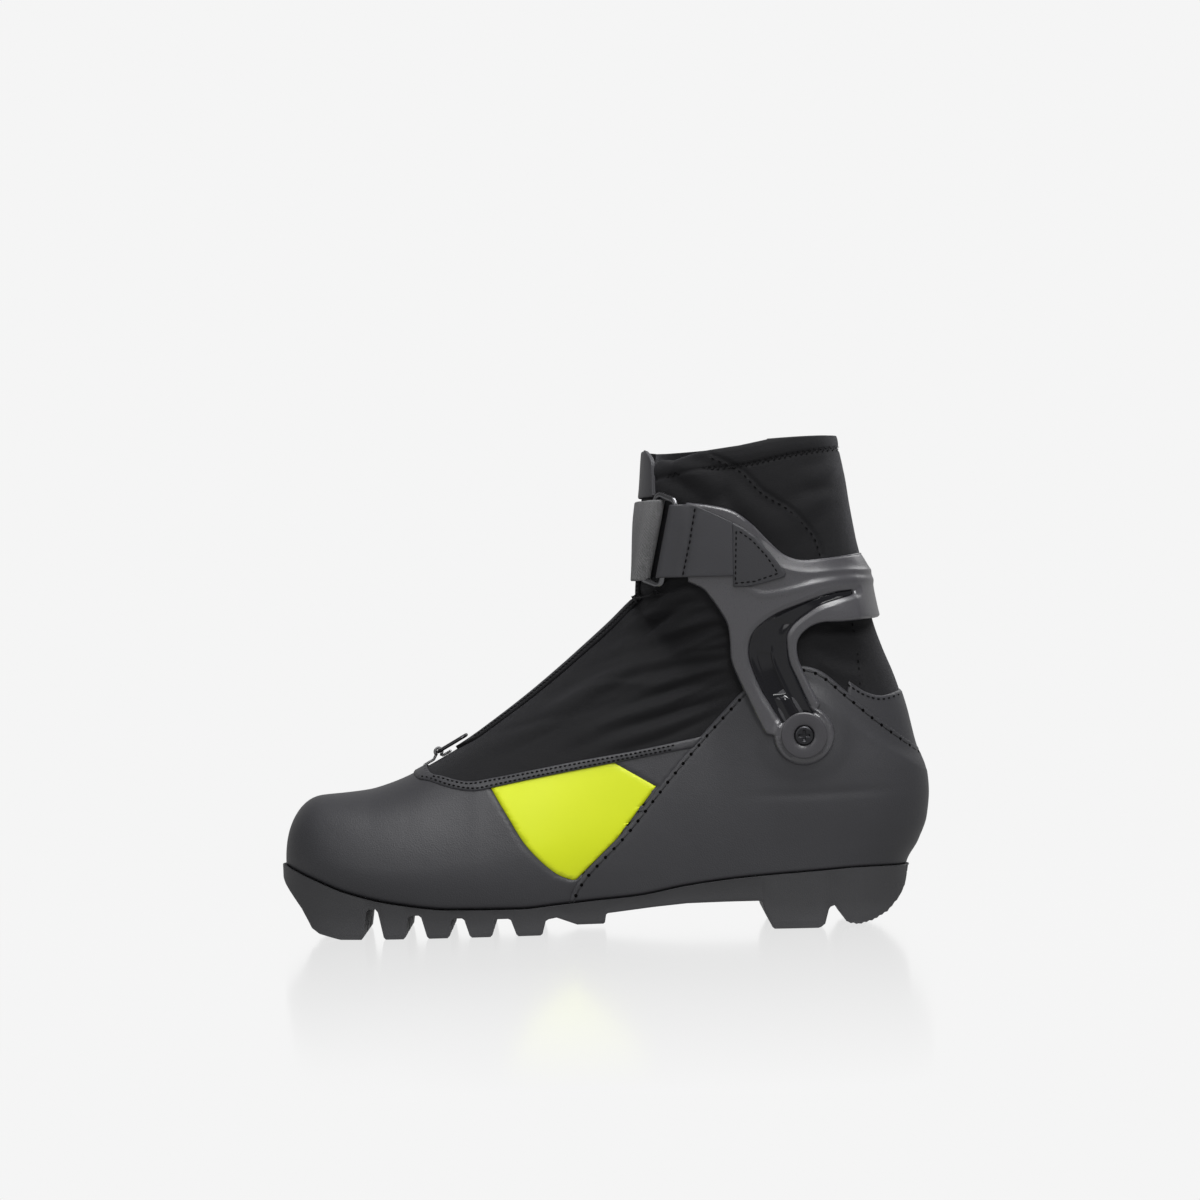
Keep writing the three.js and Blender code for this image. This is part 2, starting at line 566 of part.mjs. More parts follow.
// closed wire loop: a rectangle with rounded corners in the plane of u and v
function wireLoop(centre, u, v, halfU, halfV, corner, wire) {
  const normal = u.clone().cross(v).normalize();
  const position = [];
  const index = [];
  const bend = 4;
  const sides = 8;
  const corners = [[1, 1, 0], [-1, 1, 1], [-1, -1, 2], [1, -1, 3]];
  for (const [su, sv, quarter] of corners) {
    for (let i = 0; i <= bend; i += 1) {
      const angle = (quarter + i / bend) * Math.PI / 2;
      const out = u.clone().multiplyScalar(Math.cos(angle)).addScaledVector(v, Math.sin(angle));
      const p = centre.clone().addScaledVector(u, su * (halfU - corner)).addScaledVector(v, sv * (halfV - corner))
        .addScaledVector(out, corner);
      for (const [a, b] of roundSection(wire, sides)) {
        const q = p.clone().addScaledVector(out, a).addScaledVector(normal, b);
        position.push(q.x, q.y, q.z);
      }
    }
  }
  const count = position.length / 3 / sides;
  for (let i = 0; i < count; i += 1) {
    for (let k = 0; k < sides; k += 1) {
      const a = i * sides + k;
      const b = i * sides + (k + 1) % sides;
      const c = ((i + 1) % count) * sides + (k + 1) % sides;
      const d = ((i + 1) % count) * sides + k;
      index.push(a, d, c, a, c, b);
    }
  }
  const geometry = new THREE.BufferGeometry();
  geometry.setAttribute('position', new THREE.BufferAttribute(new Float32Array(position), 3));
  geometry.setIndex(index);
  return solid(geometry);
}

// round bar or tube between two points
function barBetween(from, to, radius, bore = 0) {
  const length = from.distanceTo(to);
  const ring = [[bore, 0], [radius, 0], [radius, length], [bore, length], [bore, 0]];
  const geometry = new THREE.LatheGeometry(ring.map(([r, y]) => new THREE.Vector2(r, y)), 12);
  const turn = new THREE.Quaternion().setFromUnitVectors(new THREE.Vector3(0, 1, 0),
    to.clone().sub(from).normalize());
  geometry.applyQuaternion(turn);
  geometry.translate(from.x, from.y, from.z);
  return solid(geometry);
}

// strap that closes the cuff: tab, ring, strap and peeling end
const STRAP_TOP = 199 * kz;
const STRAP_LOW = STRAP_TOP - STRAP_WIDTH;
const RING_LOOSE = 0.9;                      // play of the ring in the strap
const RING_END_PLAY = 0.6;                   // ring past each edge of the strap
const BAR_INSET = 2.5;                       // measuring points of the ring bars, from the strap's edges
const RING_CLEAR = 3.55;                     // ring centre from the body where the body bulges most
const strapEdge = (z) => 22 * kx + 0.2 * (z - STRAP_LOW);
const tabEdge = (z) => strapEdge(z) + 8.5;
const FLAP_START = 11;                       // where the free end leaves the strap, from the middle
const FLAP_END = 52 * kx;

// how far the body stands out past a straight bar laid on it, over the ring's whole height
function bulge(edge) {
  const ends = [STRAP_LOW + BAR_INSET, STRAP_TOP - BAR_INSET];
  const [from, to] = ends.map((z) => beside(edge(z), z, 0, -1));
  const reach = BAR_INSET + 2 * WIRE + RING_END_PLAY;
  let most = 0;
  for (let i = 0; i <= 24; i += 1) {
    const z = ends[0] - reach + (ends[1] - ends[0] + 2 * reach) * i / 24;
    const bar = from.clone().lerp(to, (z - ends[0]) / (ends[1] - ends[0]));
    most = Math.max(most, bar.y - beside(edge(z), z, 0, -1).y);
  }
  return most;
}

function strapParts() {
  const middleZ = (STRAP_TOP + STRAP_LOW) / 2;
  const ringOut = RING_CLEAR + Math.max(bulge(strapEdge), bulge(tabEdge));
  const on = (edge, z) => beside(edge(z), z, ringOut, -1);
  const strapBar = [on(strapEdge, STRAP_LOW + BAR_INSET), on(strapEdge, STRAP_TOP - BAR_INSET)];
  const tabBar = [on(tabEdge, STRAP_LOW + BAR_INSET), on(tabEdge, STRAP_TOP - BAR_INSET)];
  const centre = strapBar.concat(tabBar).reduce((sum, p) => sum.add(p), new THREE.Vector3()).multiplyScalar(0.25);
  const v = strapBar[1].clone().sub(strapBar[0]).normalize();
  const across1 = on(tabEdge, middleZ).sub(on(strapEdge, middleZ));
  const u = across1.clone().addScaledVector(v, -across1.dot(v)).normalize();
  const halfU = across1.dot(u) / 2;
  const halfV = STRAP_WIDTH / 2 + WIRE + RING_END_PLAY;
  const bar = (side, reach) => [-1, 1].map((end) => centre.clone().addScaledVector(u, side * halfU)
    .addScaledVector(v, end * reach));
  piece('strap_ring', wireLoop(centre, u, v, halfU, halfV, 3, WIRE), steel);
  const ringRoom = wireLoop(centre, u, v, halfU, halfV, 3, WIRE + RING_LOOSE);
  const holeStrap = barBetween(...bar(-1, halfV + 4), WIRE + RING_LOOSE);
  const holeTab = barBetween(...bar(1, halfV + 4), WIRE + GAP);
  const foldStrap = barBetween(...bar(-1, STRAP_WIDTH / 2 - BAR_INSET), WIRE + RING_LOOSE + 1.1);
  const foldTab = barBetween(...bar(1, STRAP_WIDTH / 2 - BAR_INSET), WIRE + GAP + 1.1);

  const innerBand = shell(GAP, GAP + 1.3, 9);
  const outerBand = shell(GAP + 1.6, GAP + 1.6 + STRAP_THICK, 9);
  const wrap = (edge, y0, y1) => across([[-20 * kx, STRAP_LOW], [edge(STRAP_LOW), STRAP_LOW],
    [edge(STRAP_TOP), STRAP_TOP], [-20 * kx, STRAP_TOP]], y0, y1);
  const medialEnd = (z) => strapEdge(z);
  const lateralEnd = () => 39.8 * kx;
  const flapEnd = () => FLAP_END;
  const strap = innerBand.intersect(wrap(medialEnd, -90, 0.01)).add(innerBand.intersect(wrap(lateralEnd, 0, 90)))
    .add(outerBand.intersect(wrap(medialEnd, -90, FLAP_START)))
    .add(shell(GAP + 1.2, GAP + 1.7, 9).intersect(wrap(medialEnd, -90, FLAP_START)))
    .add(foldStrap).subtract(holeStrap).subtract(ringRoom);
  piece('strap', strap, webbing);
  const flapClear = CUFF_OUT + GAP + 0.3;
  const flapLayer = shell(GAP + 1.6, GAP + 1.6 + STRAP_THICK, 9, (x, z) => {
    const climb = Math.min(1, Math.max(0, (x - 26 * kx) / (12 * kx)));
    return ((flapClear - GAP - 1.6) + cuffLift(x, z)) * climb * climb * (3 - 2 * climb);
  });
  piece('strap_flap', flapLayer.intersect(wrap(flapEnd, FLAP_START + GAP, 90)), webbing);

  const tabLayer = shell(CUFF_OUT + GAP, CUFF_OUT + GAP + 1.2, 7, cuffLift);
  const tabOut = [[tabEdge(STRAP_LOW + 1), STRAP_LOW + 1], [60.5 * kx, 160 * kz], [60.5 * kx, 190 * kz],
    [tabEdge(STRAP_TOP - 2), STRAP_TOP - 2.5]];
  const tab = tabLayer.intersect(across(tabOut, -90, 0)).add(foldTab).subtract(holeTab)
    .subtract(ringRoom);
  piece('strap_tab', tab, leather);
  const patchOut = [[60.5 * kx + GAP, 187 * kz], [60.5 * kx + GAP, 158.5 * kz], [82.7 * kx, 163.4 * kz]];
  piece('strap_patch', tabLayer.intersect(across(patchOut, -90, 0)), leather);
}

// soft front tab that stands at the top of the tongue
function frontTab() {
  const layer = shell(GAP, GAP + 1.8, 12);
  const out = scaled([[0, 201], [25.5, 201], [24.2, 210], [25.5, 219], [0, 219]]);
  piece('tongue_tab', layer.intersect(across(out)), leather);
}

// wire ring at the foot of the cover, held by a webbing keeper
function gaiterRing() {
  const x = -78.5 * kx;
  const slope = Math.atan2(ridge(x + 12) - ridge(x - 2), 14);
  const axis = new THREE.Vector3(x, middle(x), ridge(x) + 3.4);
  const u = new THREE.Vector3(Math.cos(slope), 0, Math.sin(slope));
  const v = new THREE.Vector3(0, 1, 0);
  const length = 15;
  const centre = axis.clone().addScaledVector(u, length / 2);
  piece('gaiter_ring', wireLoop(centre, u, v, length / 2, 7, 3, GAITER_WIRE), blackWire);
  const loop = crosswise(x, axis.z, axis.y - 3.5, axis.y + 3.5, GAITER_WIRE + GAP + 1);
  const foot = shell(GAP, GAP + 1.2).intersect(across([[x - 3, 60], [x + 3, 60], [x + 3, 100], [x - 3, 100]],
    axis.y - 3.5, axis.y + 3.5));
  const neck = across([[x - 1.6, ridge(x) + 0.6], [x + 1.6, ridge(x) + 1.4], [x + 1.2, axis.z], [x - 1.2, axis.z]],
    axis.y - 3.5, axis.y + 3.5);
  const hole = crosswise(x, axis.z, axis.y - 10, axis.y + 10, GAITER_WIRE + GAP);
  piece('gaiter_keeper', foot.add(neck).add(loop).subtract(hole), webbing);
}

// strip over the closing of the cover, along the middle of the instep
function coverStrip() {
  const strip = shell(GAP, GAP + 0.9).intersect(across([[-72 * kx, 70], [-72 * kx, 110], [-24 * kx, 150],
    [-24 * kx, 112 * kz]], -4, 9));
  piece('cover_strip', strip, fabric);
}

panels();
strapParts();
frontTab();
gaiterRing();
coverStrip();
eyestayBand();
innerLayers();
sole();
boards();
collar();
cuff();
ankles();

// the origin lies on the ground under the middle of the boot
const middleOfBox = new THREE.Box3().setFromObject(boot).getCenter(new THREE.Vector3());
boot.position.set(-middleOfBox.x, -middleOfBox.y, 0);

export default boot;
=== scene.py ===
"""Cross country skating boot, right foot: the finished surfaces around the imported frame."""
import math

import bpy
import numpy as np
from mathutils import Matrix, Vector


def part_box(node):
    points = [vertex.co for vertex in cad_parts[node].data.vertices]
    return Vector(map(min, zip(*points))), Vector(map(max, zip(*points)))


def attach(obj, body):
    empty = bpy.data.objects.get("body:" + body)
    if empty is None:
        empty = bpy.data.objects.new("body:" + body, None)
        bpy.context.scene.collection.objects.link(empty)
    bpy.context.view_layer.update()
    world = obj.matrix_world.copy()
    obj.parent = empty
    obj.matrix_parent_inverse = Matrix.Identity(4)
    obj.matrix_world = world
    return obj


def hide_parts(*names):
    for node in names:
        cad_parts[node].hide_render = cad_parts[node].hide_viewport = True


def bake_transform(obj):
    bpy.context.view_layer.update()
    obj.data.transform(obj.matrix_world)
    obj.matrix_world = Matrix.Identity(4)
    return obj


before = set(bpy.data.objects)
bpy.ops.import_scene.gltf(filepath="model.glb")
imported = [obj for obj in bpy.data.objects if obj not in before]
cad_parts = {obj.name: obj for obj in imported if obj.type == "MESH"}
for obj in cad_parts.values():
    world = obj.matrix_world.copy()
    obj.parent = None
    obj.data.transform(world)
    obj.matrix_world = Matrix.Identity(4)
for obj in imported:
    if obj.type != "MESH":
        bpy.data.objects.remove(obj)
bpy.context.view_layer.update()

# ---------------------------------------------------------------------------------------------
# Camera, floor and light. A long lens looks square at the inner side of the boot from boot
# height, held a little out of level, in a pale room with one broad light above and one in front.
# ---------------------------------------------------------------------------------------------
CAMERA_DISTANCE = 1.85
CAMERA_HEIGHT = 0.1535
CAMERA_ROLL = -0.024
FIELD_WIDTH = 0.564                                    # what the picture spans at the boot's middle

camera_data = bpy.data.cameras.new("camera")
camera_data.sensor_width = 36.0
camera_data.lens = 36.0 * CAMERA_DISTANCE / FIELD_WIDTH
camera = bpy.data.objects.new("camera", camera_data)
bpy.context.scene.collection.objects.link(camera)
camera.matrix_world = (
    Matrix.Translation((0.0, 0.0, CAMERA_HEIGHT))
    @ Matrix.Translation((0.0, -CAMERA_DISTANCE, 0.0))
    @ Matrix.Rotation(math.pi / 2, 4, "X")
    @ Matrix.Rotation(CAMERA_ROLL, 4, "Z")
)
camera_data.clip_start = 0.05
bpy.context.scene.camera = camera

world = bpy.data.worlds.new("pale room")
world.use_nodes = True
world.node_tree.nodes["Background"].inputs["Color"].default_value = (0.90, 0.90, 0.90, 1)
world.node_tree.nodes["Background"].inputs["Strength"].default_value = 0.22
bpy.context.scene.world = world


def area_light(name, place, aim, size, power):
    """A square lamp at a place, turned to face a point."""
    data = bpy.data.lights.new(name, "AREA")
    data.size = size
    data.energy = power
    lamp = bpy.data.objects.new(name, data)
    lamp.location = place
    lamp.rotation_euler = (Vector(aim) - Vector(place)).to_track_quat("-Z", "Y").to_euler()
    bpy.context.scene.collection.objects.link(lamp)


area_light("top light", (0.25, -0.45, 1.35), (0.06, 0, 0.1), 0.9, 18)
area_light("band light", (0.5, -1.5, 1.25), (0.1, 0, 0.17), 0.45, 12)
area_light("front light", (-0.9, -1.3, 0.8), (0, 0, 0.1), 0.9, 4)
area_light("back light", (0.7, 0.9, 0.9), (0, 0, 0.12), 0.7, 3)


def new_finish(name, color, rough, metal=0.0):
    """A principled material with one base colour and roughness; returns it and its node makers."""
    mat = bpy.data.materials.new(name)
    mat.use_nodes = True
    tree = mat.node_tree
    shader = tree.nodes["Principled BSDF"]
    shader.inputs["Base Color"].default_value = (*color, 1)
    shader.inputs["Roughness"].default_value = rough
    shader.inputs["Metallic"].default_value = metal

    def add(kind, **values):
        """Adds a node; keys name settings or sockets, and a socket value links where it is one."""
        node = tree.nodes.new(kind)
        for key, value in values.items():
            if hasattr(node, key):
                setattr(node, key, value)
                continue
            socket = node.inputs[int(key[1:])] if key[0] == "i" and key[1:].isdigit() else node.inputs[key]
            if isinstance(value, bpy.types.NodeSocket):
                tree.links.new(value, socket)
            else:
                socket.default_value = value
        return node

    def link(source, target):
        """Links an output to a socket of the principled shader."""
        tree.links.new(source, shader.inputs[target])

    return mat, add, link, shader


def remap(add, value, low, high, start=0.0, stop=1.0):
    """The output of a node that carries start to low and stop to high, in a straight line between."""
    node = add("ShaderNodeMapRange", Value=value)
    for socket, number in (("From Min", start), ("From Max", stop), ("To Min", low), ("To Max", high)):
        node.inputs[socket].default_value = number
    return node.outputs[0]


def shaded(add, color, factor):
    """The output of a node that gives the colour times a factor."""
    return add("ShaderNodeMixRGB", blend_type="MULTIPLY", Fac=1.0, Color1=(*color, 1),
               Color2=factor).outputs[0]


bpy.context.scene.view_settings.view_transform = "Standard"

# The floor sweeps up behind the boot in one curve: a flat run, a quarter circle and a wall.
# It glows evenly. Near the boot it also gives a faint mirror image, which fades out toward the camera:
# the glow there is the even level less the glow of the room, and the mirror adds the room back.
FLOOR_LEVEL, ROOM_LEVEL, MIRROR_SHARE = 0.913, 0.475, 0.43
floor_finish, floor_add, _, _ = new_finish("pale floor", (0.9, 0.9, 0.9), 0.5)
floor_place = floor_add("ShaderNodeSeparateXYZ", Vector=floor_add("ShaderNodeTexCoord").outputs["Object"])
nearness = remap(floor_add, floor_place.outputs["Y"], 0.0, MIRROR_SHARE, start=-0.62, stop=0.0)
farness = remap(floor_add, floor_place.outputs["Y"], 1.0, 0.0, start=0.15, stop=0.6)
mirror_share = floor_add("ShaderNodeMath", operation="MULTIPLY", i0=nearness, i1=farness)
even_glow = floor_add("ShaderNodeEmission", Strength=FLOOR_LEVEL)
room_glow = floor_add("ShaderNodeEmission", Strength=ROOM_LEVEL)
mirror_glow = floor_add("ShaderNodeEmission", Strength=FLOOR_LEVEL - ROOM_LEVEL)
mirror = floor_add("ShaderNodeBsdfAnisotropic", Roughness=0.12, Color=(1, 1, 1, 1))
both = floor_add("ShaderNodeAddShader", i0=mirror_glow.outputs[0], i1=mirror.outputs[0])
near = floor_add("ShaderNodeMixShader", i0=mirror_share.outputs[0], i1=even_glow.outputs[0],
                 i2=both.outputs[0])
seen = floor_add("ShaderNodeMixShader", i0=floor_add("ShaderNodeLightPath").outputs["Is Camera Ray"],
                 i1=room_glow.outputs[0], i2=near.outputs[0])
tree = floor_finish.node_tree
tree.links.new(seen.outputs[0], tree.nodes["Material Output"].inputs["Surface"])
FLOOR_FRONT, FLOOR_BACK, SWEEP, WALL, HALF_ROOM = -4.0, 2.5, 1.2, 4.0, 5.0
turn = np.linspace(0, np.pi / 2, 24)
sweep_y = np.concatenate([[FLOOR_FRONT, 0.6], FLOOR_BACK + SWEEP * np.sin(turn), [FLOOR_BACK + SWEEP]])
sweep_z = np.concatenate([[0, 0], SWEEP * (1 - np.cos(turn)), [WALL]])
floor_points = np.array([(x, y, z) for x in (-HALF_ROOM, HALF_ROOM) for y, z in zip(sweep_y, sweep_z)])
count = len(sweep_y)
floor_mesh = bpy.data.meshes.new("floor")
floor_quads = [(i, i + count, i + count + 1, i + 1) for i in range(count - 1)]
floor_mesh.from_pydata(floor_points.tolist(), [], floor_quads)
floor_mesh.polygons.foreach_set("use_smooth", np.ones(count - 1, bool))
floor_mesh.materials.append(floor_finish)
floor = bpy.data.objects.new("floor", floor_mesh)
bpy.context.scene.collection.objects.link(floor)

# ---------------------------------------------------------------------------------------------
# The lasted upper. Its outer skin is worked out from the side view: a half width either side of
# a centre line. All panels below are offsets of this one skin, cut along their seams. Millimetres.
# ---------------------------------------------------------------------------------------------
MM = 0.001
PIVOT = np.array([91.3, 89.1])
cap_low, cap_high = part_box("pivot_cap_medial")
_, far_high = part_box("pivot_cap_lateral")
SHIFT = np.array([
    (cap_low[0] + cap_high[0]) / 2 / MM - PIVOT[0],
    (cap_low[1] + far_high[1]) / 2 / MM,
    0.0,
])


def profile(points):
    """Smooth curve through points with no overshoot: a cubic on each span, harmonic-mean slopes."""
    xs, ys = np.array(points, float).T
    step = np.diff(ys) / np.diff(xs)
    slope = np.concatenate([[step[0]], np.zeros(len(xs) - 2), [step[-1]]])
    same = step[:-1] * step[1:] > 0
    slope[1:-1][same] = 2 * step[:-1][same] * step[1:][same] / (step[:-1] + step[1:])[same]

    def curve(x):
        """Height of the curve at x: the cubic blends of the span's two ends and of their two slopes."""
        x = np.asarray(x, float)
        i = np.clip(np.searchsorted(xs, x, side="right") - 1, 0, len(xs) - 2)
        h = xs[i + 1] - xs[i]
        u = np.clip((x - xs[i]) / h, 0, 1)
        value = ys[i] * (1 + 2 * u) * (1 - u) ** 2 + ys[i + 1] * u * u * (3 - 2 * u)
        return value + h * u * (1 - u) * (slope[i] * (1 - u) - slope[i + 1] * u)

    return curve


TOE, BALL = -150.5, -60.0
feather = profile([(-151, 34), (-138.4, 28.5), (-119.7, 21.2), (-98.8, 16.2), (-72.7, 13), (-41.1, 12.6),
                   (-23, 14), (-9.4, 15.2), (13.6, 17), (36.2, 21), (67, 24.5), (87.7, 26), (118.5, 27.5),
                   (151, 26.5)])
toe_top = profile([(-151, 62), (-132.4, 65.5), (-121.6, 66.3), (-110.8, 67.5), (-102.2, 69.8),
                   (-93.2, 73.2), (-81.8, 79), (-65.6, 88.2), (-49.8, 99.1), (-35, 110.1), (-21.5, 121),
                   (-8.6, 132), (3.9, 143), (14.5, 153.1), (22, 159), (30, 163), (60, 165), (120, 165)])
shin_line = profile([(0, 46), (60, 44), (100, 36), (130, 25), (153, 16.5), (170, 17.5), (188, 18.4),
                     (205, 20.5), (222, 22), (235, 24)])
heel_line = profile([(0, 138), (27, 139.4), (38, 145.3), (49.2, 149.3), (60.5, 150.3), (71.8, 149.2),
                     (83.2, 145.5), (100.1, 141.6), (111.5, 138.2), (117.2, 136.2), (128.6, 131.6),
                     (139.9, 127.8), (151.3, 125.3), (168.2, 122.5), (180, 119.8), (196.7, 116.6),
                     (208, 115), (219.4, 113), (235, 110.5)])
calf = profile([(0, 33), (27, 33.5), (60, 35.5), (90, 35), (120, 34.5), (150, 37.5), (180, 41.5),
                (210, 44), (235, 44.5)])
waist = profile([(-60, 49), (-40, 47), (-20, 43), (0, 39.5), (20, 36.5), (40, 35), (60, 34), (100, 33),
                 (118, 20), (124, 0)])
fullness = profile([(-151, 3), (-100, 2.6), (-40, 1.9), (40, 1.8)])
middle = profile([(-151, -7), (-110, -3), (-60, 2), (-10, 1), (30, 0), (150, 0)])


def ridge(x):
    """Height of the instep line; the last 18 mm to the toe falls as a rounded cap."""
    back = np.clip((TOE + 18 - x) / 18, 0, 1)
    low = feather(x)
    return low + (toe_top(x) - low) * np.maximum(0, 1 - back ** 2.6) ** (1 / 2.4)


def half_width(x, z):
    """Half width of the skin: foot section and shaft section joined by a soft maximum."""
    out = np.clip((BALL - x) / (BALL - TOE), 0, 1)
    plan = waist(np.maximum(x, BALL)) * (1 - out ** 2.3) ** (1 / 2.1)
    low = feather(x)
    rise = (z - low) / np.maximum(1e-6, ridge(x) - low)
    crown = np.sqrt(np.clip(1 - np.clip(rise, 0, 1) ** fullness(x), 0, 1))
    foot = plan * crown * (1 - 0.08 * np.maximum(0, 1 - rise / 0.3) ** 2)
    foot = np.where((x <= TOE) | (x >= 124) | (rise >= 1), 0, foot)
    front, back = shin_line(z), heel_line(z)
    away = np.abs((2 * x - front - back) / (back - front))
    shaft = calf(z) * np.maximum(0, 1 - np.minimum(away, 1) ** 2.4) ** (1 / 2.2)
    return (foot ** 8 + shaft ** 8) ** (1 / 8)


def by_length(points):
    """Point on a line of points at a share of its length."""
    points = np.array(points)
    run = np.concatenate([[0], np.cumsum(np.linalg.norm(np.diff(points, axis=0), axis=1))])
    return lambda share: [np.interp(np.clip(share, 0, 1) * run[-1], run, points[:, k]) for k in (0, 1)]


CREASE, RIM_FRONT, RIM_BACK = 153.1, 222.0, 228.0
front_x = TOE + (shin_line(CREASE) - TOE) * np.linspace(0, 1, 600) ** 3
front_z = np.minimum(CREASE, ridge(front_x))
front_z[0] = feather(front_x[0])
front_up = np.linspace(CREASE, RIM_FRONT, 80)[1:]
front_at = by_length(np.stack([np.append(front_x, shin_line(front_up)), np.append(front_z, front_up)], 1))
back_up = np.linspace(feather(139.0), RIM_BACK, 200)
back_at = by_length(np.stack([heel_line(back_up), back_up], 1))
(HEEL_X,), (HEEL_Z,) = back_at(np.array([0.0]))
TOE_Z = float(feather(TOE))


def skin(theta, t, lift=None):
    """Point of the skin: theta runs round from the toe by the inner side, t from sole to rim."""
    x0, z0 = front_at(t)
    x1, z1 = back_at(t)
    share = (1 - np.cos(theta)) / 2
    x = x0 + (x1 - x0) * share
    sole_x = TOE + (HEEL_X - TOE) * share
    under = feather(sole_x) - (TOE_Z + (HEEL_Z - TOE_Z) * share)
    z = z0 + (z1 - z0) * share + under * (1 - t) ** 3
    width = half_width(x, z) + (lift(x, z) if lift else 0)
    side = np.where(np.sin(theta) >= 0, -1.0, 1.0)
    return np.stack([x, middle(x) + side * width, z], -1)


def skin_normal(theta, t, lift=None):
    """Outward normal of the skin by small steps round and up."""
    round_step = skin(theta + 0.012, t, lift) - skin(theta - 0.012, t, lift)
    up_step = skin(theta, np.minimum(1, t + 2e-3), lift) - skin(theta, np.maximum(0, t - 2e-3), lift)
    normal = np.cross(round_step, up_step)
    return normal / np.maximum(1e-9, np.linalg.norm(normal, axis=-1, keepdims=True))


def outline_distance(outline, x, z):
    """Signed distance to a closed side-view outline, positive inside."""
    ring = np.array(outline, float)
    best = np.full(np.shape(x), 1e9)
    inside = np.zeros(np.shape(x), bool)
    for (ax, az), (bx, bz) in zip(ring, np.roll(ring, -1, 0)):
        ex, ez = bx - ax, bz - az
        share = np.clip(((x - ax) * ex + (z - az) * ez) / (ex * ex + ez * ez + 1e-12), 0, 1)
        best = np.minimum(best, (x - ax - share * ex) ** 2 + (z - az - share * ez) ** 2)
        if az != bz:
            inside ^= ((az > z) != (bz > z)) & (x < ax + (z - az) * ex / ez)
    return np.where(inside, 1, -1) * np.sqrt(best)


def smooth_line(points, count=6):
    """Smooth line through side-view points (a centripetal Catmull-Rom curve)."""
    pts = np.array(points, float)
    pts = np.vstack([2 * pts[0] - pts[1], pts, 2 * pts[-1] - pts[-2]])
    result = []
    for a, b, c, d in zip(pts, pts[1:], pts[2:], pts[3:]):
        ta = 0.0
        tb = ta + np.linalg.norm(b - a) ** 0.5
        tc = tb + np.linalg.norm(c - b) ** 0.5
        td = tc + np.linalg.norm(d - c) ** 0.5
        t = np.linspace(tb, tc, count, endpoint=False)[:, None]
        ab = ((tb - t) * a + (t - ta) * b) / (tb - ta)
        bc = ((tc - t) * b + (t - tb) * c) / (tc - tb)
        cd = ((td - t) * c + (t - tc) * d) / (td - tc)
        abc = ((tc - t) * ab + (t - ta) * bc) / (tc - ta)
        bcd = ((td - t) * bc + (t - tb) * cd) / (td - tb)
        result.append(((tc - t) * abc + (t - tb) * bcd) / (tc - tb))
    return np.vstack(result + [pts[-2:-1]])


def add_mesh(name, points, faces, finish, uv=None, edge=None):
    """Puts points in millimetres of the drawing into a mesh object in metres of the frame."""
    mesh = bpy.data.meshes.new(name)
    faces = np.asarray(faces)
    place = (np.asarray(points, float).reshape(-1, 3) + SHIFT) * MM
    mesh.vertices.add(len(place))
    mesh.vertices.foreach_set("co", place.ravel())
    mesh.loops.add(faces.size)
    mesh.loops.foreach_set("vertex_index", faces.ravel().astype(np.int32))
    mesh.polygons.add(len(faces))
    mesh.polygons.foreach_set("loop_start", np.arange(0, faces.size, faces.shape[1], dtype=np.int32))
    mesh.polygons.foreach_set("use_smooth", np.ones(len(faces), bool))
    mesh.update(calc_edges=True)
    if uv is not None:
        layer = mesh.uv_layers.new(name="surface")
        layer.data.foreach_set("uv", np.asarray(uv, float)[faces.ravel()].ravel())
    if edge is not None:
        attribute = mesh.attributes.new("edge", "FLOAT", "POINT")
        attribute.data.foreach_set("value", np.asarray(edge, np.float32))
    mesh.validate()
    mesh.materials.append(finish)
    obj = bpy.data.objects.new(name, mesh)
    bpy.context.scene.collection.objects.link(obj)
    return obj


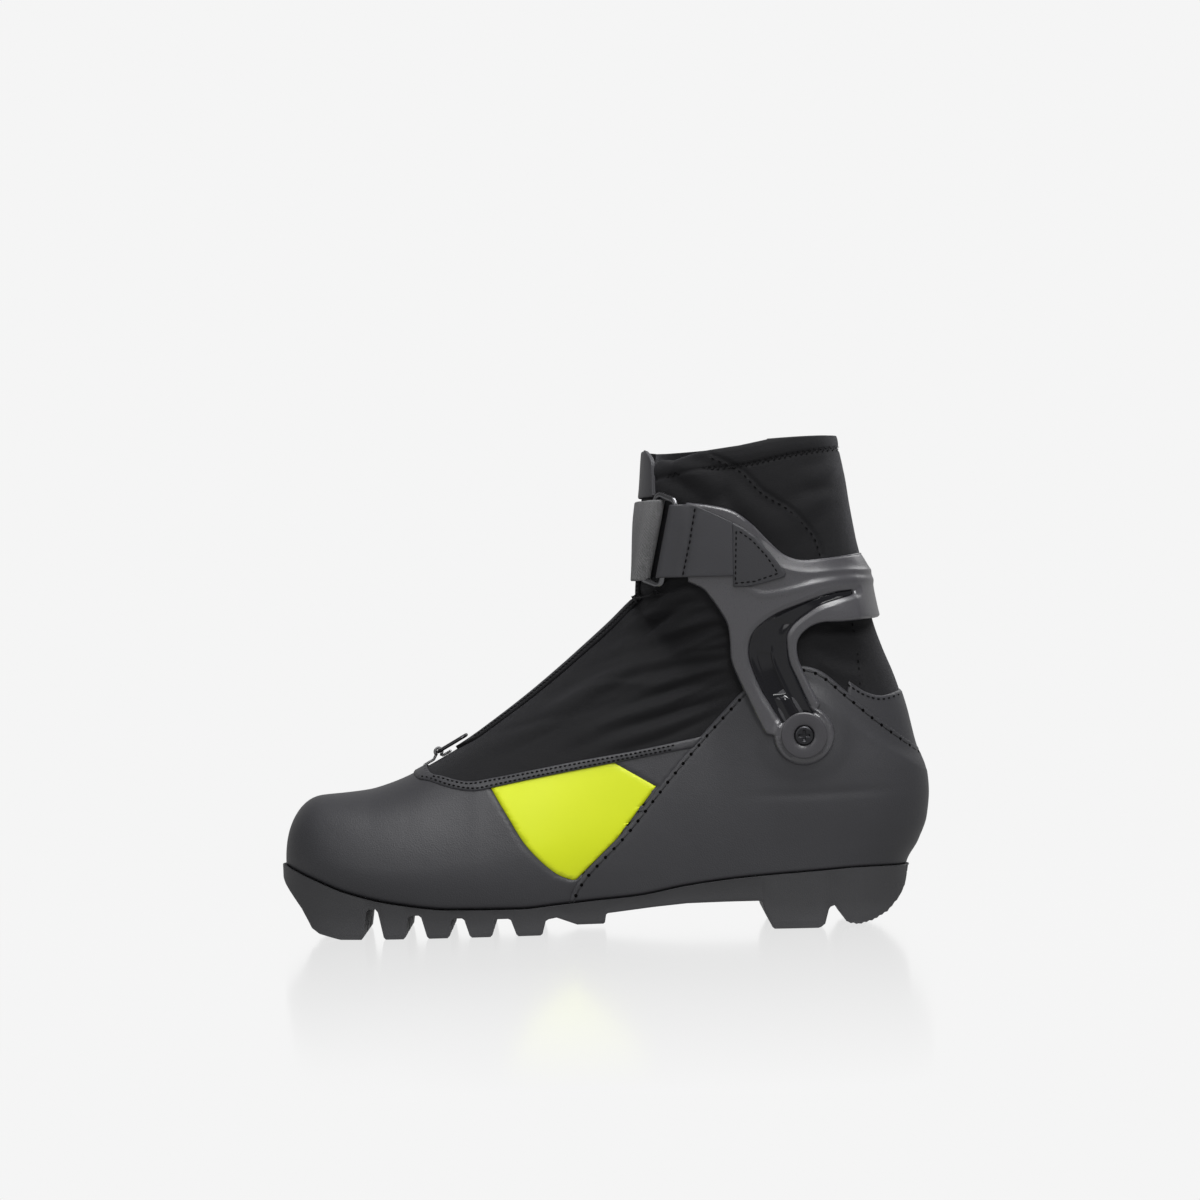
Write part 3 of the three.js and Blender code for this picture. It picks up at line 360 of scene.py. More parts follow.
def skin_piece(name, finish, distance, outer, inner, edge_radius=0.8, rows=(0.0, 1.0), size=(560, 240),
               lift=None, relief=None):
    """A piece of the skin where distance(x, z, side) is positive, as a closed sheet between two offsets.
    Border points slide along the skin onto the cut line, and the outer face rounds down to it."""
    around, up = size
    theta = np.linspace(0, 2 * np.pi, around, endpoint=False)[None, :].repeat(up + 1, 0)
    t = np.linspace(*rows, up + 1)[:, None].repeat(around, 1)
    p = skin(theta, t, lift)
    side = np.where(np.sin(theta) >= 0, -1.0, 1.0)
    d = distance(p[..., 0], p[..., 2], side)
    step = np.stack([2 * np.pi / around, (rows[1] - rows[0]) / up])
    p_i = (np.roll(p, -1, 1) - np.roll(p, 1, 1)) / (2 * step[0])
    p_j = np.gradient(p, axis=0) / step[1]
    d_i = (np.roll(d, -1, 1) - np.roll(d, 1, 1)) / (2 * step[0])
    d_j = np.gradient(d, axis=0) / step[1]
    e, f, g = (p_i * p_i).sum(-1), (p_i * p_j).sum(-1), (p_j * p_j).sum(-1)
    det = np.maximum(e * g - f * f, 1e-6)
    move_i, move_j = (g * d_i - f * d_j) / det, (e * d_j - f * d_i) / det
    steep = np.maximum(d_i * move_i + d_j * move_j, 0.02)

    quad = np.stack([d[:-1], np.roll(d, -1, 1)[:-1], np.roll(d, -1, 1)[1:], d[1:]])
    keep = (quad > 0).sum(0) >= 2
    keep &= quad.mean(0) > 0
    index = np.arange((up + 1) * around).reshape(up + 1, around)
    right = np.roll(index, -1, 1)
    faces = np.stack([index[:-1], right[:-1], right[1:], index[1:]], -1)[keep]
    used, faces = np.unique(faces, return_inverse=True)
    faces = faces.reshape(-1, 4)

    edges = np.concatenate([faces[:, [k, (k + 1) % 4]] for k in range(4)])
    key = np.sort(edges, 1) @ np.array([len(used), 1])
    _, first, count = np.unique(key, return_index=True, return_counts=True)
    border_edges = edges[first[count == 1]]
    border = np.unique(border_edges)

    th, tt = theta.ravel()[used], t.ravel()[used]
    dist = (d / np.sqrt(steep)).ravel()[used]
    row = used // around
    free = border[(row[border] > 0) & (row[border] < up)] if rows[1] >= 1 or rows[0] <= 0 else border
    for _ in range(3):
        q = skin(th[free], tt[free], lift)
        s = np.where(np.sin(th[free]) >= 0, -1.0, 1.0)
        off = distance(q[:, 0], q[:, 2], s)
        pull = np.clip(off, -2.5, 2.5) / steep.ravel()[used][free]
        th[free] -= np.clip(pull * move_i.ravel()[used][free], -3 * step[0], 3 * step[0])
        slide = np.clip(pull * move_j.ravel()[used][free], -3 * step[1], 3 * step[1])
        tt[free] = np.clip(tt[free] - slide, 0, 1)
    dist[border] = 0
    base = skin(th, tt, lift)
    normal = skin_normal(th, tt, lift)
    s = np.where(np.sin(th) >= 0, -1.0, 1.0)
    fall = np.clip(1 - np.maximum(dist, 0) / edge_radius, 0, 1)
    top = outer - edge_radius * (1 - np.sqrt(1 - fall ** 2)) * 0.9
    raised = relief(base[:, 0], base[:, 2], s, dist) if relief else 0
    outside = base + normal * (top + raised)[:, None]
    inside = base + normal * inner
    n = len(used)
    skirt = np.stack([border_edges[:, 1], border_edges[:, 0], border_edges[:, 0] + n,
                      border_edges[:, 1] + n], 1)
    everything = np.vstack([faces, faces[:, ::-1] + n, skirt])
    uv = np.stack([th / (2 * np.pi) * 600, tt * 260], 1)
    return add_mesh(name, np.vstack([outside, inside]), everything, finish, np.vstack([uv, uv]),
                    np.append(dist, dist))


def on_side(x, z, side, depth, lift=None):
    """Point and outward normal beside the boot at a side-view place, a depth out from the skin."""
    x, z = np.asarray(x, float), np.asarray(z, float)
    h = 0.4
    wide = (lambda u, w: half_width(u, w) + lift(u, w)) if lift else half_width
    slope_x = (wide(x + h, z) - wide(x - h, z)) / (2 * h)
    slope_z = (wide(x, z + h) - wide(x, z - h)) / (2 * h)
    normal = np.stack([-slope_x, np.full_like(x, side), -slope_z], -1)
    normal /= np.linalg.norm(normal, axis=-1, keepdims=True)
    place = np.stack([x, middle(x) + side * wide(x, z), z], -1)
    return place + normal * np.reshape(depth, (-1, 1)), normal


def spread(path, pitch):
    """Evenly spaced points along a line of points, with unit directions."""
    path = np.asarray(path, float)
    run = np.concatenate([[0], np.cumsum(np.linalg.norm(np.diff(path, axis=0), axis=1))])
    where = np.arange(pitch / 2, run[-1], pitch)
    at = lambda s: np.stack([np.interp(s, run, path[:, k]) for k in range(path.shape[1])], -1)
    ahead = at(np.minimum(where + 0.3, run[-1])) - at(np.maximum(where - 0.3, 0))
    return at(where), ahead / np.linalg.norm(ahead, axis=-1, keepdims=True)


def beads(name, finish, centre, along, normal, length, radius, rings=5):
    """Many small rounded threads: a six-sided capsule swept by broadcasting over all stitches at once."""
    sides = 6
    u = np.linspace(-1, 1, rings)
    girth = np.sqrt(np.clip(1 - np.abs(u) ** 3, 0.02, 1))
    angle = np.linspace(0, 2 * np.pi, sides, endpoint=False)
    across = np.cross(along, normal)
    body = centre[:, None, None, :] + along[:, None, None, :] * (u * length / 2)[None, :, None, None]
    ring = (np.cos(angle)[None, None, :, None] * across[:, None, None, :]
            + np.sin(angle)[None, None, :, None] * normal[:, None, None, :])
    points = body + ring * (girth * radius)[None, :, None, None]
    cell = np.arange(rings * sides).reshape(rings, sides)
    nxt = np.roll(cell, -1, 1)
    one = np.stack([cell[:-1], nxt[:-1], nxt[1:], cell[1:]], -1).reshape(-1, 4)
    ends = np.array([cell[0][::-1][[0, 1, 2, 3]], cell[0][::-1][[0, 3, 4, 5]],
                     cell[-1][[0, 1, 2, 3]], cell[-1][[0, 3, 4, 5]]])
    one = np.vstack([one, ends])
    faces = (one[None] + (np.arange(len(centre)) * rings * sides)[:, None, None]).reshape(-1, 4)
    return add_mesh(name, points.reshape(-1, 3), faces, finish)


# Seams of the side view.
def ray(degrees, radius):
    """Side-view point at a direction and distance from the ankle pivot."""
    angle = np.radians(degrees)
    return (PIVOT[0] + radius * math.cos(angle), PIVOT[1] + radius * math.sin(angle))


QUARTER_EDGE = smooth_line([(-21, 8), (-14.7, 23.5), (7.4, 46.8), (31, 75.1), (54.6, 100.7), (65, 111),
                            (78, 119), (90.9, 121), (100, 118.4), (112.6, 108), (127, 95.8), (142.7, 83.9),
                            (165, 68)])
QUARTER = [*QUARTER_EDGE, (185, 68), (185, -5), (-21, -5)]
BAND_TOP = smooth_line([(-88, 90), (-82, 75.2), (-76.3, 73.6), (-68, 71.5), (-62.6, 71), (-52.3, 72.5),
                        (-13.1, 79.4), (15.2, 83.8), (48, 90)])
BAND_LOW = smooth_line([(-96, 84), (-88.5, 73), (-81.9, 71.4), (-71.4, 68.2), (-60.9, 66.8), (-52.4, 68.2),
                        (-34.2, 71.7), (15.1, 80.1), (44, 85)])
BAND = [*BAND_LOW, *BAND_TOP[::-1]]
LIME_LOW = smooth_line([(-15.5, 24.5), (-23.8, 28), (-37.2, 41), (-45.3, 54), (-54.5, 70)])
LIME = [*LIME_LOW, (-30, 76), (0.3, 80.5), (23, 67), (4.2, 43.2)]
VAMP = [(-190, -5), (60, -5), (60, 92), *((BAND_TOP + BAND_LOW) / 2)[::-1], (-190, 87)]


def leather_finish(name, color, rough=0.5, grain=1.0):
    """Coated leather: fine pebble grain, faint colour drift and a colour slightly paler at the edges."""
    mat, add, link, _ = new_finish(name, color, rough)
    place = add("ShaderNodeTexCoord").outputs["Object"]
    pebble = add("ShaderNodeTexVoronoi", Vector=place, Scale=1500.0, Randomness=1.0)
    fine = add("ShaderNodeTexNoise", Vector=place, Scale=2600.0, Detail=3.0)
    broad = add("ShaderNodeTexNoise", Vector=place, Scale=26.0, Detail=4.0)
    height = add("ShaderNodeMath", operation="MULTIPLY_ADD", i0=fine.outputs["Fac"], i1=0.6,
                 i2=pebble.outputs["Distance"])
    bump = add("ShaderNodeBump", Strength=0.16 * grain, Distance=0.0004, Height=height.outputs[0])
    wave = add("ShaderNodeBump", Strength=0.12, Distance=0.004, Height=broad.outputs["Fac"],
               Normal=bump.outputs["Normal"])
    link(wave.outputs["Normal"], "Normal")
    shade = remap(add, broad.outputs["Fac"], 0.86, 1.16)
    edge = add("ShaderNodeAttribute", attribute_name="edge")
    # Colour made paler within a millimetre of each cut edge.
    paler_edge = remap(add, edge.outputs["Fac"], 1.25, 1.0)
    both = add("ShaderNodeMath", operation="MULTIPLY", i0=shade, i1=paler_edge)
    link(shaded(add, color, both.outputs[0]), "Base Color")
    gloss = remap(add, fine.outputs["Fac"], rough - 0.08, rough + 0.1)
    link(gloss, "Roughness")
    return mat


leather = leather_finish("coated leather", (0.031, 0.031, 0.035))


def matt_finish(name, color, rough, specular, scale, strength):
    """Thread, and the needle holes' painted shade: one dark colour over a fine noise bump of that scale and
    strength.
    """
    mat, add, link, shader = new_finish(name, color, rough)
    shader.inputs["Specular IOR Level"].default_value = specular
    twist = add("ShaderNodeTexNoise", Vector=add("ShaderNodeTexCoord").outputs["Object"], Scale=scale)
    bump = add("ShaderNodeBump", Strength=strength, Distance=0.0002, Height=twist.outputs["Fac"])
    link(bump.outputs[0], "Normal")
    return mat


thread_mat = matt_finish("black thread", (0.0025, 0.0025, 0.003), 0.7, 0.12, 2500.0, 0.4)
# The needle-hole finish is painted shade: near black, standing for the dark inside of each hole.
hole_shade_mat = matt_finish("needle hole", (0.0015, 0.0015, 0.0015), 0.95, 0.05, 900.0, 0.3)
SKIN_DEPTH = -2.0
vamp = skin_piece("vamp", leather, lambda x, z, s: np.minimum(outline_distance(VAMP, x, z),
                  np.minimum(-outline_distance(QUARTER, x, z) + 1.0, -outline_distance(LIME, x, z))),
                  0.0, SKIN_DEPTH, 0.5)
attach(vamp, "lower")
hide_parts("vamp")

# ---------------------------------------------------------------------------------------------
# Lime side panels: coated fabric let into the vamp on both sides, cut to a kite shape.
# ---------------------------------------------------------------------------------------------
lime, add, link, shader = new_finish("lime coating", (0.535, 0.605, 0.0), 0.5)
place = add("ShaderNodeTexCoord").outputs["Object"]
speck = add("ShaderNodeTexNoise", Vector=place, Scale=1800.0, Detail=2.0)
broad = add("ShaderNodeTexNoise", Vector=place, Scale=30.0, Detail=3.0)
bump = add("ShaderNodeBump", Strength=0.08, Distance=0.0003, Height=speck.outputs["Fac"])
link(bump.outputs[0], "Normal")
tint = add("ShaderNodeMixRGB", Color1=(0.60, 0.69, 0.0, 1), Color2=(0.66, 0.745, 0.002, 1),
           Fac=broad.outputs["Fac"])
link(tint.outputs[0], "Base Color")
for side_name, side_sign in (("medial", -1), ("lateral", 1)):
    panel = skin_piece(
        f"lime_panel_{side_name}", lime,
        lambda x, z, s: np.where(s == side_sign, np.minimum(
            outline_distance(LIME, x, z) - 0.15, -outline_distance(QUARTER, x, z) + 1.0), -20.0),
        -0.15, SKIN_DEPTH, 0.4)
    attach(panel, "lower")
    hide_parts(f"lime_panel_{side_name}")

# ---------------------------------------------------------------------------------------------
# Heel quarter: one piece of coated leather wrapped round the heel, moulded over the ankle pivots
# and stitched along its front and top edge to what lies under it.
# ---------------------------------------------------------------------------------------------
BOSS_RADIUS = 20.0


def quarter_relief(x, z, side, dist):
    """Boss under each ankle pivot, padding behind the hem, a needle channel and one faint crease."""
    r = np.hypot(x - PIVOT[0], z - PIVOT[1])
    boss = 0.9 / (1 + np.exp((r - BOSS_RADIUS) / 1.6))
    channel = -0.25 * np.exp(-((dist - 2.2) / 0.7) ** 2)
    crease = -0.35 * np.exp(-((z - 62 - 0.02 * (x - 90)) / 2.2) ** 2) * np.exp(-((x - 100) / 32) ** 4)
    padding = 0.9 * np.clip((dist - 4.5) / 6, 0, 1) ** 2
    padding = padding * np.clip((x - 70) / 12, 0, 1) * np.clip((z - 40) / 40, 0, 1)
    return boss + channel + crease + padding


quarter = skin_piece("heel_quarter", leather, lambda x, z, s: outline_distance(QUARTER, x, z),
                     0.45, SKIN_DEPTH, 0.8, relief=quarter_relief)
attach(quarter, "lower")
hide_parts("heel_quarter")


def inset(path, distance):
    """A line of side-view points moved sideways, to the right of its direction when positive."""
    path = np.asarray(path, float)
    ahead = np.gradient(path, axis=0)
    ahead /= np.linalg.norm(ahead, axis=1, keepdims=True)
    return path + distance * np.stack([ahead[:, 1], -ahead[:, 0]], 1)


def stitch_row(name, path, pitch, length, radius, depth,
               sides=(-1, 1), body="lower", lift=None, thread=None):
    """Stitches laid along a side-view line on one or both sides of the boot; they ride the body, if any."""
    flat, ahead = spread(path, pitch)
    wide = half_width(flat[:, 0], flat[:, 1])
    flat, ahead = flat[wide > 5], ahead[wide > 5]
    parts = []
    for side in sides:
        here, normal = on_side(flat[:, 0], flat[:, 1], side, np.full(len(flat), depth), lift)
        there, _ = on_side(flat[:, 0] + 0.3 * ahead[:, 0], flat[:, 1] + 0.3 * ahead[:, 1], side,
                           np.full(len(flat), depth), lift)
        along = there - here
        along /= np.linalg.norm(along, axis=1, keepdims=True)
        parts.append((here, along, normal))
    centre, along, normal = (np.vstack(p) for p in zip(*parts))
    row = beads(name, thread or thread_mat, centre, along, normal, length, radius)
    if body:
        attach(row, body)
    return row


HALF_STEP = 1
grey_thread = matt_finish("grey thread", (0.014, 0.014, 0.016), 0.6, 0.5, 2500.0, 0.4)
stitch_row("quarter_stitches", inset(QUARTER_EDGE, 2.1), 5.6, 4.4, 0.3, 0.42, thread=grey_thread)
# Needle holes: near-black beads between the stitches, painted shade inside each hole.
stitch_row("quarter_needle_hole_shade", inset(QUARTER_EDGE, 2.1)[HALF_STEP:],
           5.6, 1.9, 0.95, -0.05, thread=hole_shade_mat)

# ---------------------------------------------------------------------------------------------
# Heel tab: a small panel of the same leather above the quarter at the back, stitched at its top.
# ---------------------------------------------------------------------------------------------
TAB_TOP = smooth_line([(113, 113.6), (116.8, 110.8), (120.9, 108.3), (127.5, 106.3), (134.6, 107.3),
                       (150, 112.5)])
TAB = [*TAB_TOP, (165, 60), (108, 60)]
tab_piece = skin_piece("heel_tab", leather, lambda x, z, s: np.minimum(outline_distance(TAB, x, z),
                       -outline_distance(QUARTER, x, z) + 1.5), 0.15, SKIN_DEPTH, 0.6)
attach(tab_piece, "lower")
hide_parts("heel_tab")
stitch_row("heel_tab_stitches", inset(TAB_TOP, 1.8), 2.6, 1.8, 0.42, 0.2)

# ---------------------------------------------------------------------------------------------
# Throat band: a narrow strip of leather over the seam of vamp and cover, with two rows of stitches.
# ---------------------------------------------------------------------------------------------
band = skin_piece("eyestay_band", leather, lambda x, z, s: np.minimum(outline_distance(BAND, x, z),
                  -outline_distance(QUARTER, x, z) + 1.0), 0.9, 0.0, 0.6)
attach(band, "lower")
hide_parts("eyestay_band")
stitch_row("band_stitches_low", inset(BAND_LOW, -0.9)[8:-3], 2.2, 1.5, 0.42, 0.98)
stitch_row("band_stitches_top", inset(BAND_TOP, 1.2)[8:-3], 2.2, 1.5, 0.42, 0.98)

# ---------------------------------------------------------------------------------------------
# Stretch cover: black knitted fabric from the throat band up to the collar. It creases in long
# folds that fan out from the cuff. Front part and back part each bend across the ankle.
# ---------------------------------------------------------------------------------------------
def knit_finish(name, color, pitch=0.9):
    """Fine knit: rows and columns of tiny loops in the surface's own coordinates, with a soft sheen."""
    mat, add, link, shader = new_finish(name, color, 0.8)
    shader.inputs["Sheen Weight"].default_value = 0.12
    shader.inputs["Sheen Roughness"].default_value = 0.45
    shader.inputs["Sheen Tint"].default_value = (0.5, 0.5, 0.55, 1)
    shader.inputs["Specular IOR Level"].default_value = 0.3
    uv = add("ShaderNodeUVMap", uv_map="surface").outputs["UV"]
    scale = 2 * math.pi / pitch
    parts = add("ShaderNodeSeparateXYZ", Vector=uv)
    across = add("ShaderNodeMath", operation="MULTIPLY", i0=parts.outputs["X"], i1=scale)
    up = add("ShaderNodeMath", operation="MULTIPLY", i0=parts.outputs["Y"], i1=scale * 0.8)
    wave_x = add("ShaderNodeMath", operation="SINE", i0=across.outputs[0])
    lean = add("ShaderNodeMath", operation="MULTIPLY_ADD", i0=wave_x.outputs[0], i1=0.9, i2=up.outputs[0])
    wave_y = add("ShaderNodeMath", operation="SINE", i0=lean.outputs[0])
    loops = add("ShaderNodeMath", operation="MULTIPLY_ADD", i0=wave_y.outputs[0], i1=0.6,
                i2=wave_x.outputs[0])
    place = add("ShaderNodeTexCoord").outputs["Object"]
    fuzz = add("ShaderNodeTexNoise", Vector=place, Scale=1500.0, Detail=3.0)
    broad = add("ShaderNodeTexNoise", Vector=place, Scale=35.0, Detail=5.0)
    weave = add("ShaderNodeBump", Strength=0.25, Distance=0.0002, Height=loops.outputs[0])
    nap = add("ShaderNodeBump", Strength=0.25, Distance=0.0003, Height=fuzz.outputs["Fac"],
              Normal=weave.outputs["Normal"])
    soft = add("ShaderNodeBump", Strength=0.22, Distance=0.006, Height=broad.outputs["Fac"],
               Normal=nap.outputs["Normal"])
    link(soft.outputs["Normal"], "Normal")
    shade = remap(add, fuzz.outputs["Fac"], 0.7, 1.4)
    link(shaded(add, color, shade), "Base Color")
    return mat


knit = knit_finish("black stretch knit", (0.0045, 0.0045, 0.0055))

# Folds as side-view lines: two ends, a bow, the height and the half width of the fold, in millimetres.
FRONT_FOLDS = [
    ((46, 158), (2, 134), 3, 1.8, 4.2), ((58, 146), (-14, 110), 5, 2.4, 5.0),
    ((60, 134), (-34, 96), 5, 2.6, 5.2), ((60, 122), (-50, 88), 4, 2.2, 4.6),
    ((58, 112), (-40, 84), 2, 1.7, 4.0), ((54, 104), (-16, 84), -2, 1.4, 3.4),
    ((42, 166), (14, 152), 2, 1.3, 3.4), ((34, 150), (2, 124), 4, 1.2, 3.2),
    ((18, 122), (-40, 94), 2, 1.2, 3.8), ((60, 139), (26, 128), 1, 1.3, 2.6),
    ((60, 128), (22, 116), 2, 1.2, 2.6), ((20, 112), (-22, 98), 3, -1.0, 3.4),
    ((58, 117), (24, 104), 1, 1.0, 2.4), ((50, 150), (26, 142), 1, 1.1, 2.4),
    ((-20, 98), (-62, 82), 1, 0.7, 3.0),
]
BACK_FOLDS = [((96, 132), (128, 124), -3, 0.9, 4.0), ((98, 124), (126, 114), 2, 0.8, 3.5),
              ((104, 138), (130, 134), 2, 0.8, 3.5)]


def folds(lines, x, z, side):
    """Height of a set of rounded folds: a ridge across each bowed line that tapers to its two ends."""
    total = np.zeros(np.shape(x))
    for number, ((ax, az), (bx, bz), bow, height, wide) in enumerate(lines):
        shift = np.where(side > 0, 5.0 * math.sin(number * 2.3), 0.0)
        ex, ez = bx - ax, bz - az
        long = math.hypot(ex, ez)
        along = ((x - ax) * ex + (z - shift - az) * ez) / long ** 2
        off = ((x - ax) * ez - (z - shift - az) * ex) / long - bow * 4 * along * (1 - along)
        width = wide * (0.55 + 0.75 * np.clip(along, 0, 1))
        taper = np.exp(-((along - 0.42) / 0.36) ** 4)
        across = off / width
        total += height * taper * (np.exp(-across ** 2) - 0.45 * np.exp(-((np.abs(across) - 1.7) / 0.7) ** 2))
    return total


COLLAR_SEAM = 166.0
FRONT_PART = [*((BAND_TOP + BAND_LOW) / 2), (88, 96), (88, COLLAR_SEAM), (-60, COLLAR_SEAM), (-120, 100)]
BACK_PART = [(80, 92), (150, 80), (170, 80), (170, 156), (80, 156)]


def cover_relief(x, z, side, dist):
    """Fanned folds, which fade out toward the piece's edges."""
    under_band = np.clip(dist / 5, 0, 1)
    return folds(FRONT_FOLDS, x, z, side) * under_band


cover = skin_piece("instep_cover", knit, lambda x, z, s: np.minimum(outline_distance(FRONT_PART, x, z),
                   -outline_distance(QUARTER, x, z) + 3.0), -0.4, -2.4, 0.5, rows=(0.04, 1), size=(620, 300),
                   relief=cover_relief)
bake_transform(cover)
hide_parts("instep_cover", "ankle_gusset")

back_cover = skin_piece("ankle_gusset", knit, lambda x, z, s: np.minimum(np.minimum(
    outline_distance(BACK_PART, x, z), -outline_distance(QUARTER, x, z) + 4.0),
    -outline_distance(TAB, x, z) + 3.0), -0.8, -2.8, 0.5, rows=(0.1, 1),
    relief=lambda x, z, s, d: folds(BACK_FOLDS, x, z, s))
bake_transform(back_cover)

# ---------------------------------------------------------------------------------------------
# Padded collar: the knit shaft above the cuff, closed at its rim by a turned and zigzagged hem.
# It is a filled, crowned form, with a sewn seam that runs down from the front of the rim.
# ---------------------------------------------------------------------------------------------
COLLAR = [(-40, COLLAR_SEAM - 4), (74, COLLAR_SEAM - 4), (82, 150), (165, 146), (165, 300), (-40, 300)]
COLLAR_SEAM_LINE = smooth_line([(51.5, 219.2), (65.5, 211.9), (75.4, 201.6), (86.7, 194.5), (94.7, 186.5),
                                (99.6, 180.4), (102.2, 172.1)])
COLLAR_FOLDS = [((30, 214), (62, 196), -4, 1.3, 5.0), ((26, 222), (40, 190), 3, 1.2, 4.5),
                ((110, 200), (84, 182), 3, 0.9, 5.0), ((60, 206), (96, 176), 4, 0.8, 5.5),
                ((112, 215), (90, 205), -2, 0.7, 4.0), ((36, 190), (70, 196), 2, 0.8, 4.5)]


def line_distance(line, x, z):
    """Distance to an open side-view line."""
    best = np.full(np.shape(x), 1e9)
    for (ax, az), (bx, bz) in zip(line[:-1], line[1:]):
        ex, ez = bx - ax, bz - az
        share = np.clip(((x - ax) * ex + (z - az) * ez) / (ex * ex + ez * ez), 0, 1)
        best = np.minimum(best, np.hypot(x - ax - share * ex, z - az - share * ez))
    return best


def rim_height(x):
    """Side-view height of the rim line between its front and back ends."""
    return RIM_FRONT + (RIM_BACK - RIM_FRONT) * (x - 22) / (112 - 22)


NEAR_RIM = np.array([(18, 214.2), (24.1, 215.7), (28, 217.8), (33.1, 217.2), (37.7, 218.6), (46, 220.7),
                     (64.4, 222.9), (85, 226.8), (100, 230), (140, 236)])
HEM = smooth_line([(22, 207.5), (30, 209.5), (44, 212.2), (65.6, 213.8), (87.3, 218.0), (108.7, 221.2),
                   (114, 221.6)])


def collar_outline(x, z, side):
    """The collar's outline; its inner side is cut lower toward the front, where it folds over the tongue."""
    whole = outline_distance(COLLAR, x, z)
    return np.where(side < 0, np.minimum(whole, (np.interp(x, *NEAR_RIM.T) - z) * 0.96), whole)


def collar_relief(x, z, side, dist):
    """Padding that swells between hem and cuff, soft folds, a pulled seam and a groove above the hem."""
    below = rim_height(x) - z
    swell = 0.5 * np.sin(np.clip(below / 50, 0, 1) * np.pi)
    over = z - np.interp(x, *HEM.T)
    hem = -0.6 * np.exp(-(over / 1.0) ** 2) + 0.4 * np.exp(-((over - 4.2) / 2.6) ** 2)
    seam = -0.6 * np.exp(-(line_distance(COLLAR_SEAM_LINE[::3], x, z) / 1.1) ** 2)
    return swell + hem + seam + folds(COLLAR_FOLDS, x, z, side)


collar = skin_piece("collar_sleeve", knit, collar_outline, -0.2, -5.0, 2.4,
                    rows=(0.45, 1), size=(560, 260), relief=collar_relief)
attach(collar, "cuff")
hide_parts("collar_sleeve")
stitch_row("collar_seam_stitches", inset(COLLAR_SEAM_LINE, 1.4), 3.4, 1.7, 0.42, 0.1, body="cuff")


def zigzag(path, width, step):
    """A line that swings to both sides of a path, turning every step."""
    flat, ahead = spread(path, step)
    swing = np.where(np.arange(len(flat)) % 2 == 0, 1, -1) * width / 2
    return flat + swing[:, None] * np.stack([-ahead[:, 1], ahead[:, 0]], 1)


corners = zigzag(HEM, 2.2, 1.3)
zigzag_path = np.vstack([np.linspace(a, b, 4, endpoint=False) for a, b in zip(corners[:-1], corners[1:])])
stitch_row("hem_zigzag", zigzag_path, 1.28, 1.15, 0.26, 0.1, body="cuff")
back_seam = stitch_row("back_seam_stitches", smooth_line([(116, 141), (118, 128), (118.6, 112)]),
                       3.4, 1.6, 0.42, -0.75, body=None)
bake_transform(back_seam)

# ---------------------------------------------------------------------------------------------
# Sole: moulded rubber, with a wedge toe block, separate lugs, two guide grooves and a heel block.
# The binding bar crosses a pocket under the toe. Side walls lean in toward the ground.
# ---------------------------------------------------------------------------------------------
def rubber_finish(name, color, rough):
    """Moulded rubber: fine spark texture, faint flow marks and scuffed, paler low edges."""
    mat, add, link, _ = new_finish(name, color, rough)
    place = add("ShaderNodeTexCoord").outputs["Object"]
    spark = add("ShaderNodeTexNoise", Vector=place, Scale=2200.0, Detail=4.0)
    flow = add("ShaderNodeTexNoise", Vector=place, Scale=40.0, Detail=5.0)
    bump = add("ShaderNodeBump", Strength=0.3, Distance=0.0003, Height=spark.outputs["Fac"])
    wave = add("ShaderNodeBump", Strength=0.15, Distance=0.002, Height=flow.outputs["Fac"],
               Normal=bump.outputs["Normal"])
    link(wave.outputs["Normal"], "Normal")
    height = add("ShaderNodeSeparateXYZ", Vector=place)
    scuff = remap(add, height.outputs["Z"], 1.35, 1.0, stop=0.012)
    vary = remap(add, flow.outputs["Fac"], 0.8, 1.2)
    both = add("ShaderNodeMath", operation="MULTIPLY", i0=scuff, i1=vary)
    link(shaded(add, color, both.outputs[0]), "Base Color")
    gloss = remap(add, spark.outputs["Fac"], rough - 0.1, rough + 0.1)
    link(gloss, "Roughness")
    return mat


rubber = rubber_finish("moulded rubber", (0.040, 0.040, 0.043), 0.55)
SOLE_LIP, SOLE_GAP = 1.6, 0.1
UNDERSIDE = np.array([
    (-153, 30), (-150.5, 25), (-148, 21.5), (-142.4, 14), (-139.6, 9), (-137.6, 5.2), (-134, 2.6),
    (-127, 0.7), (-124, 0), (-114.2, 0), (-113.2, 1.2), (-111.7, 12.6), (-110.7, 14), (-107.4, 14),
    (-106.3, 12.6), (-103.9, 1), (-102.9, 0), (-94.8, 0), (-93.8, 1), (-92.6, 9.6), (-91.4, 10.8),
    (-87.6, 10.8), (-86.4, 9.8), (-84, 1), (-83, 0), (-74.6, 0), (-73.6, 1), (-72.6, 8), (-71.4, 9),
    (-67.8, 9), (-66.7, 8.2), (-64.4, 0.9), (-63.4, 0), (-55, 0), (-54, 0.9), (-53, 7.4), (-52, 8.2),
    (-46.6, 8.2), (-45.4, 7.6), (-43, 0.9), (-42, 0), (-32, 0), (-31, 0.7), (-29.4, 6.6), (-28, 7.4),
    (-24.4, 8), (-16, 4.8), (-15, 4.4), (-3, 4.4), (-2.2, 5), (-1.6, 8.6), (-0.8, 9.2), (20.8, 11.4),
    (36, 12.6), (69.4, 13), (70.6, 12.4), (71.9, 6.8), (75, 0.8), (76, 0), (96.2, 0), (97.4, 0.4),
    (99.3, 1.8), (101.2, 8.6), (102, 9.6), (103.8, 10.2), (104.8, 9.4), (109.2, 2.6), (111, 1.6),
    (115.1, 0.8), (122, 2.4), (129, 6), (135, 12), (138, 17), (140.2, 26),
])
GROOVE_WIDTH, GROOVE_DEPTH, GROOVE_OFFSET = 8.0, 6.0, 13.0
BAR = np.array([-136.5, 11.5])
BAR_Y = float(middle(BAR[0]))
plan_angle = np.linspace(0.0005, np.pi - 0.0005, 900)
plan_ring = skin(plan_angle, np.zeros_like(plan_angle))
plan_half = np.abs(plan_ring[:, 1] - middle(plan_ring[:, 0]))
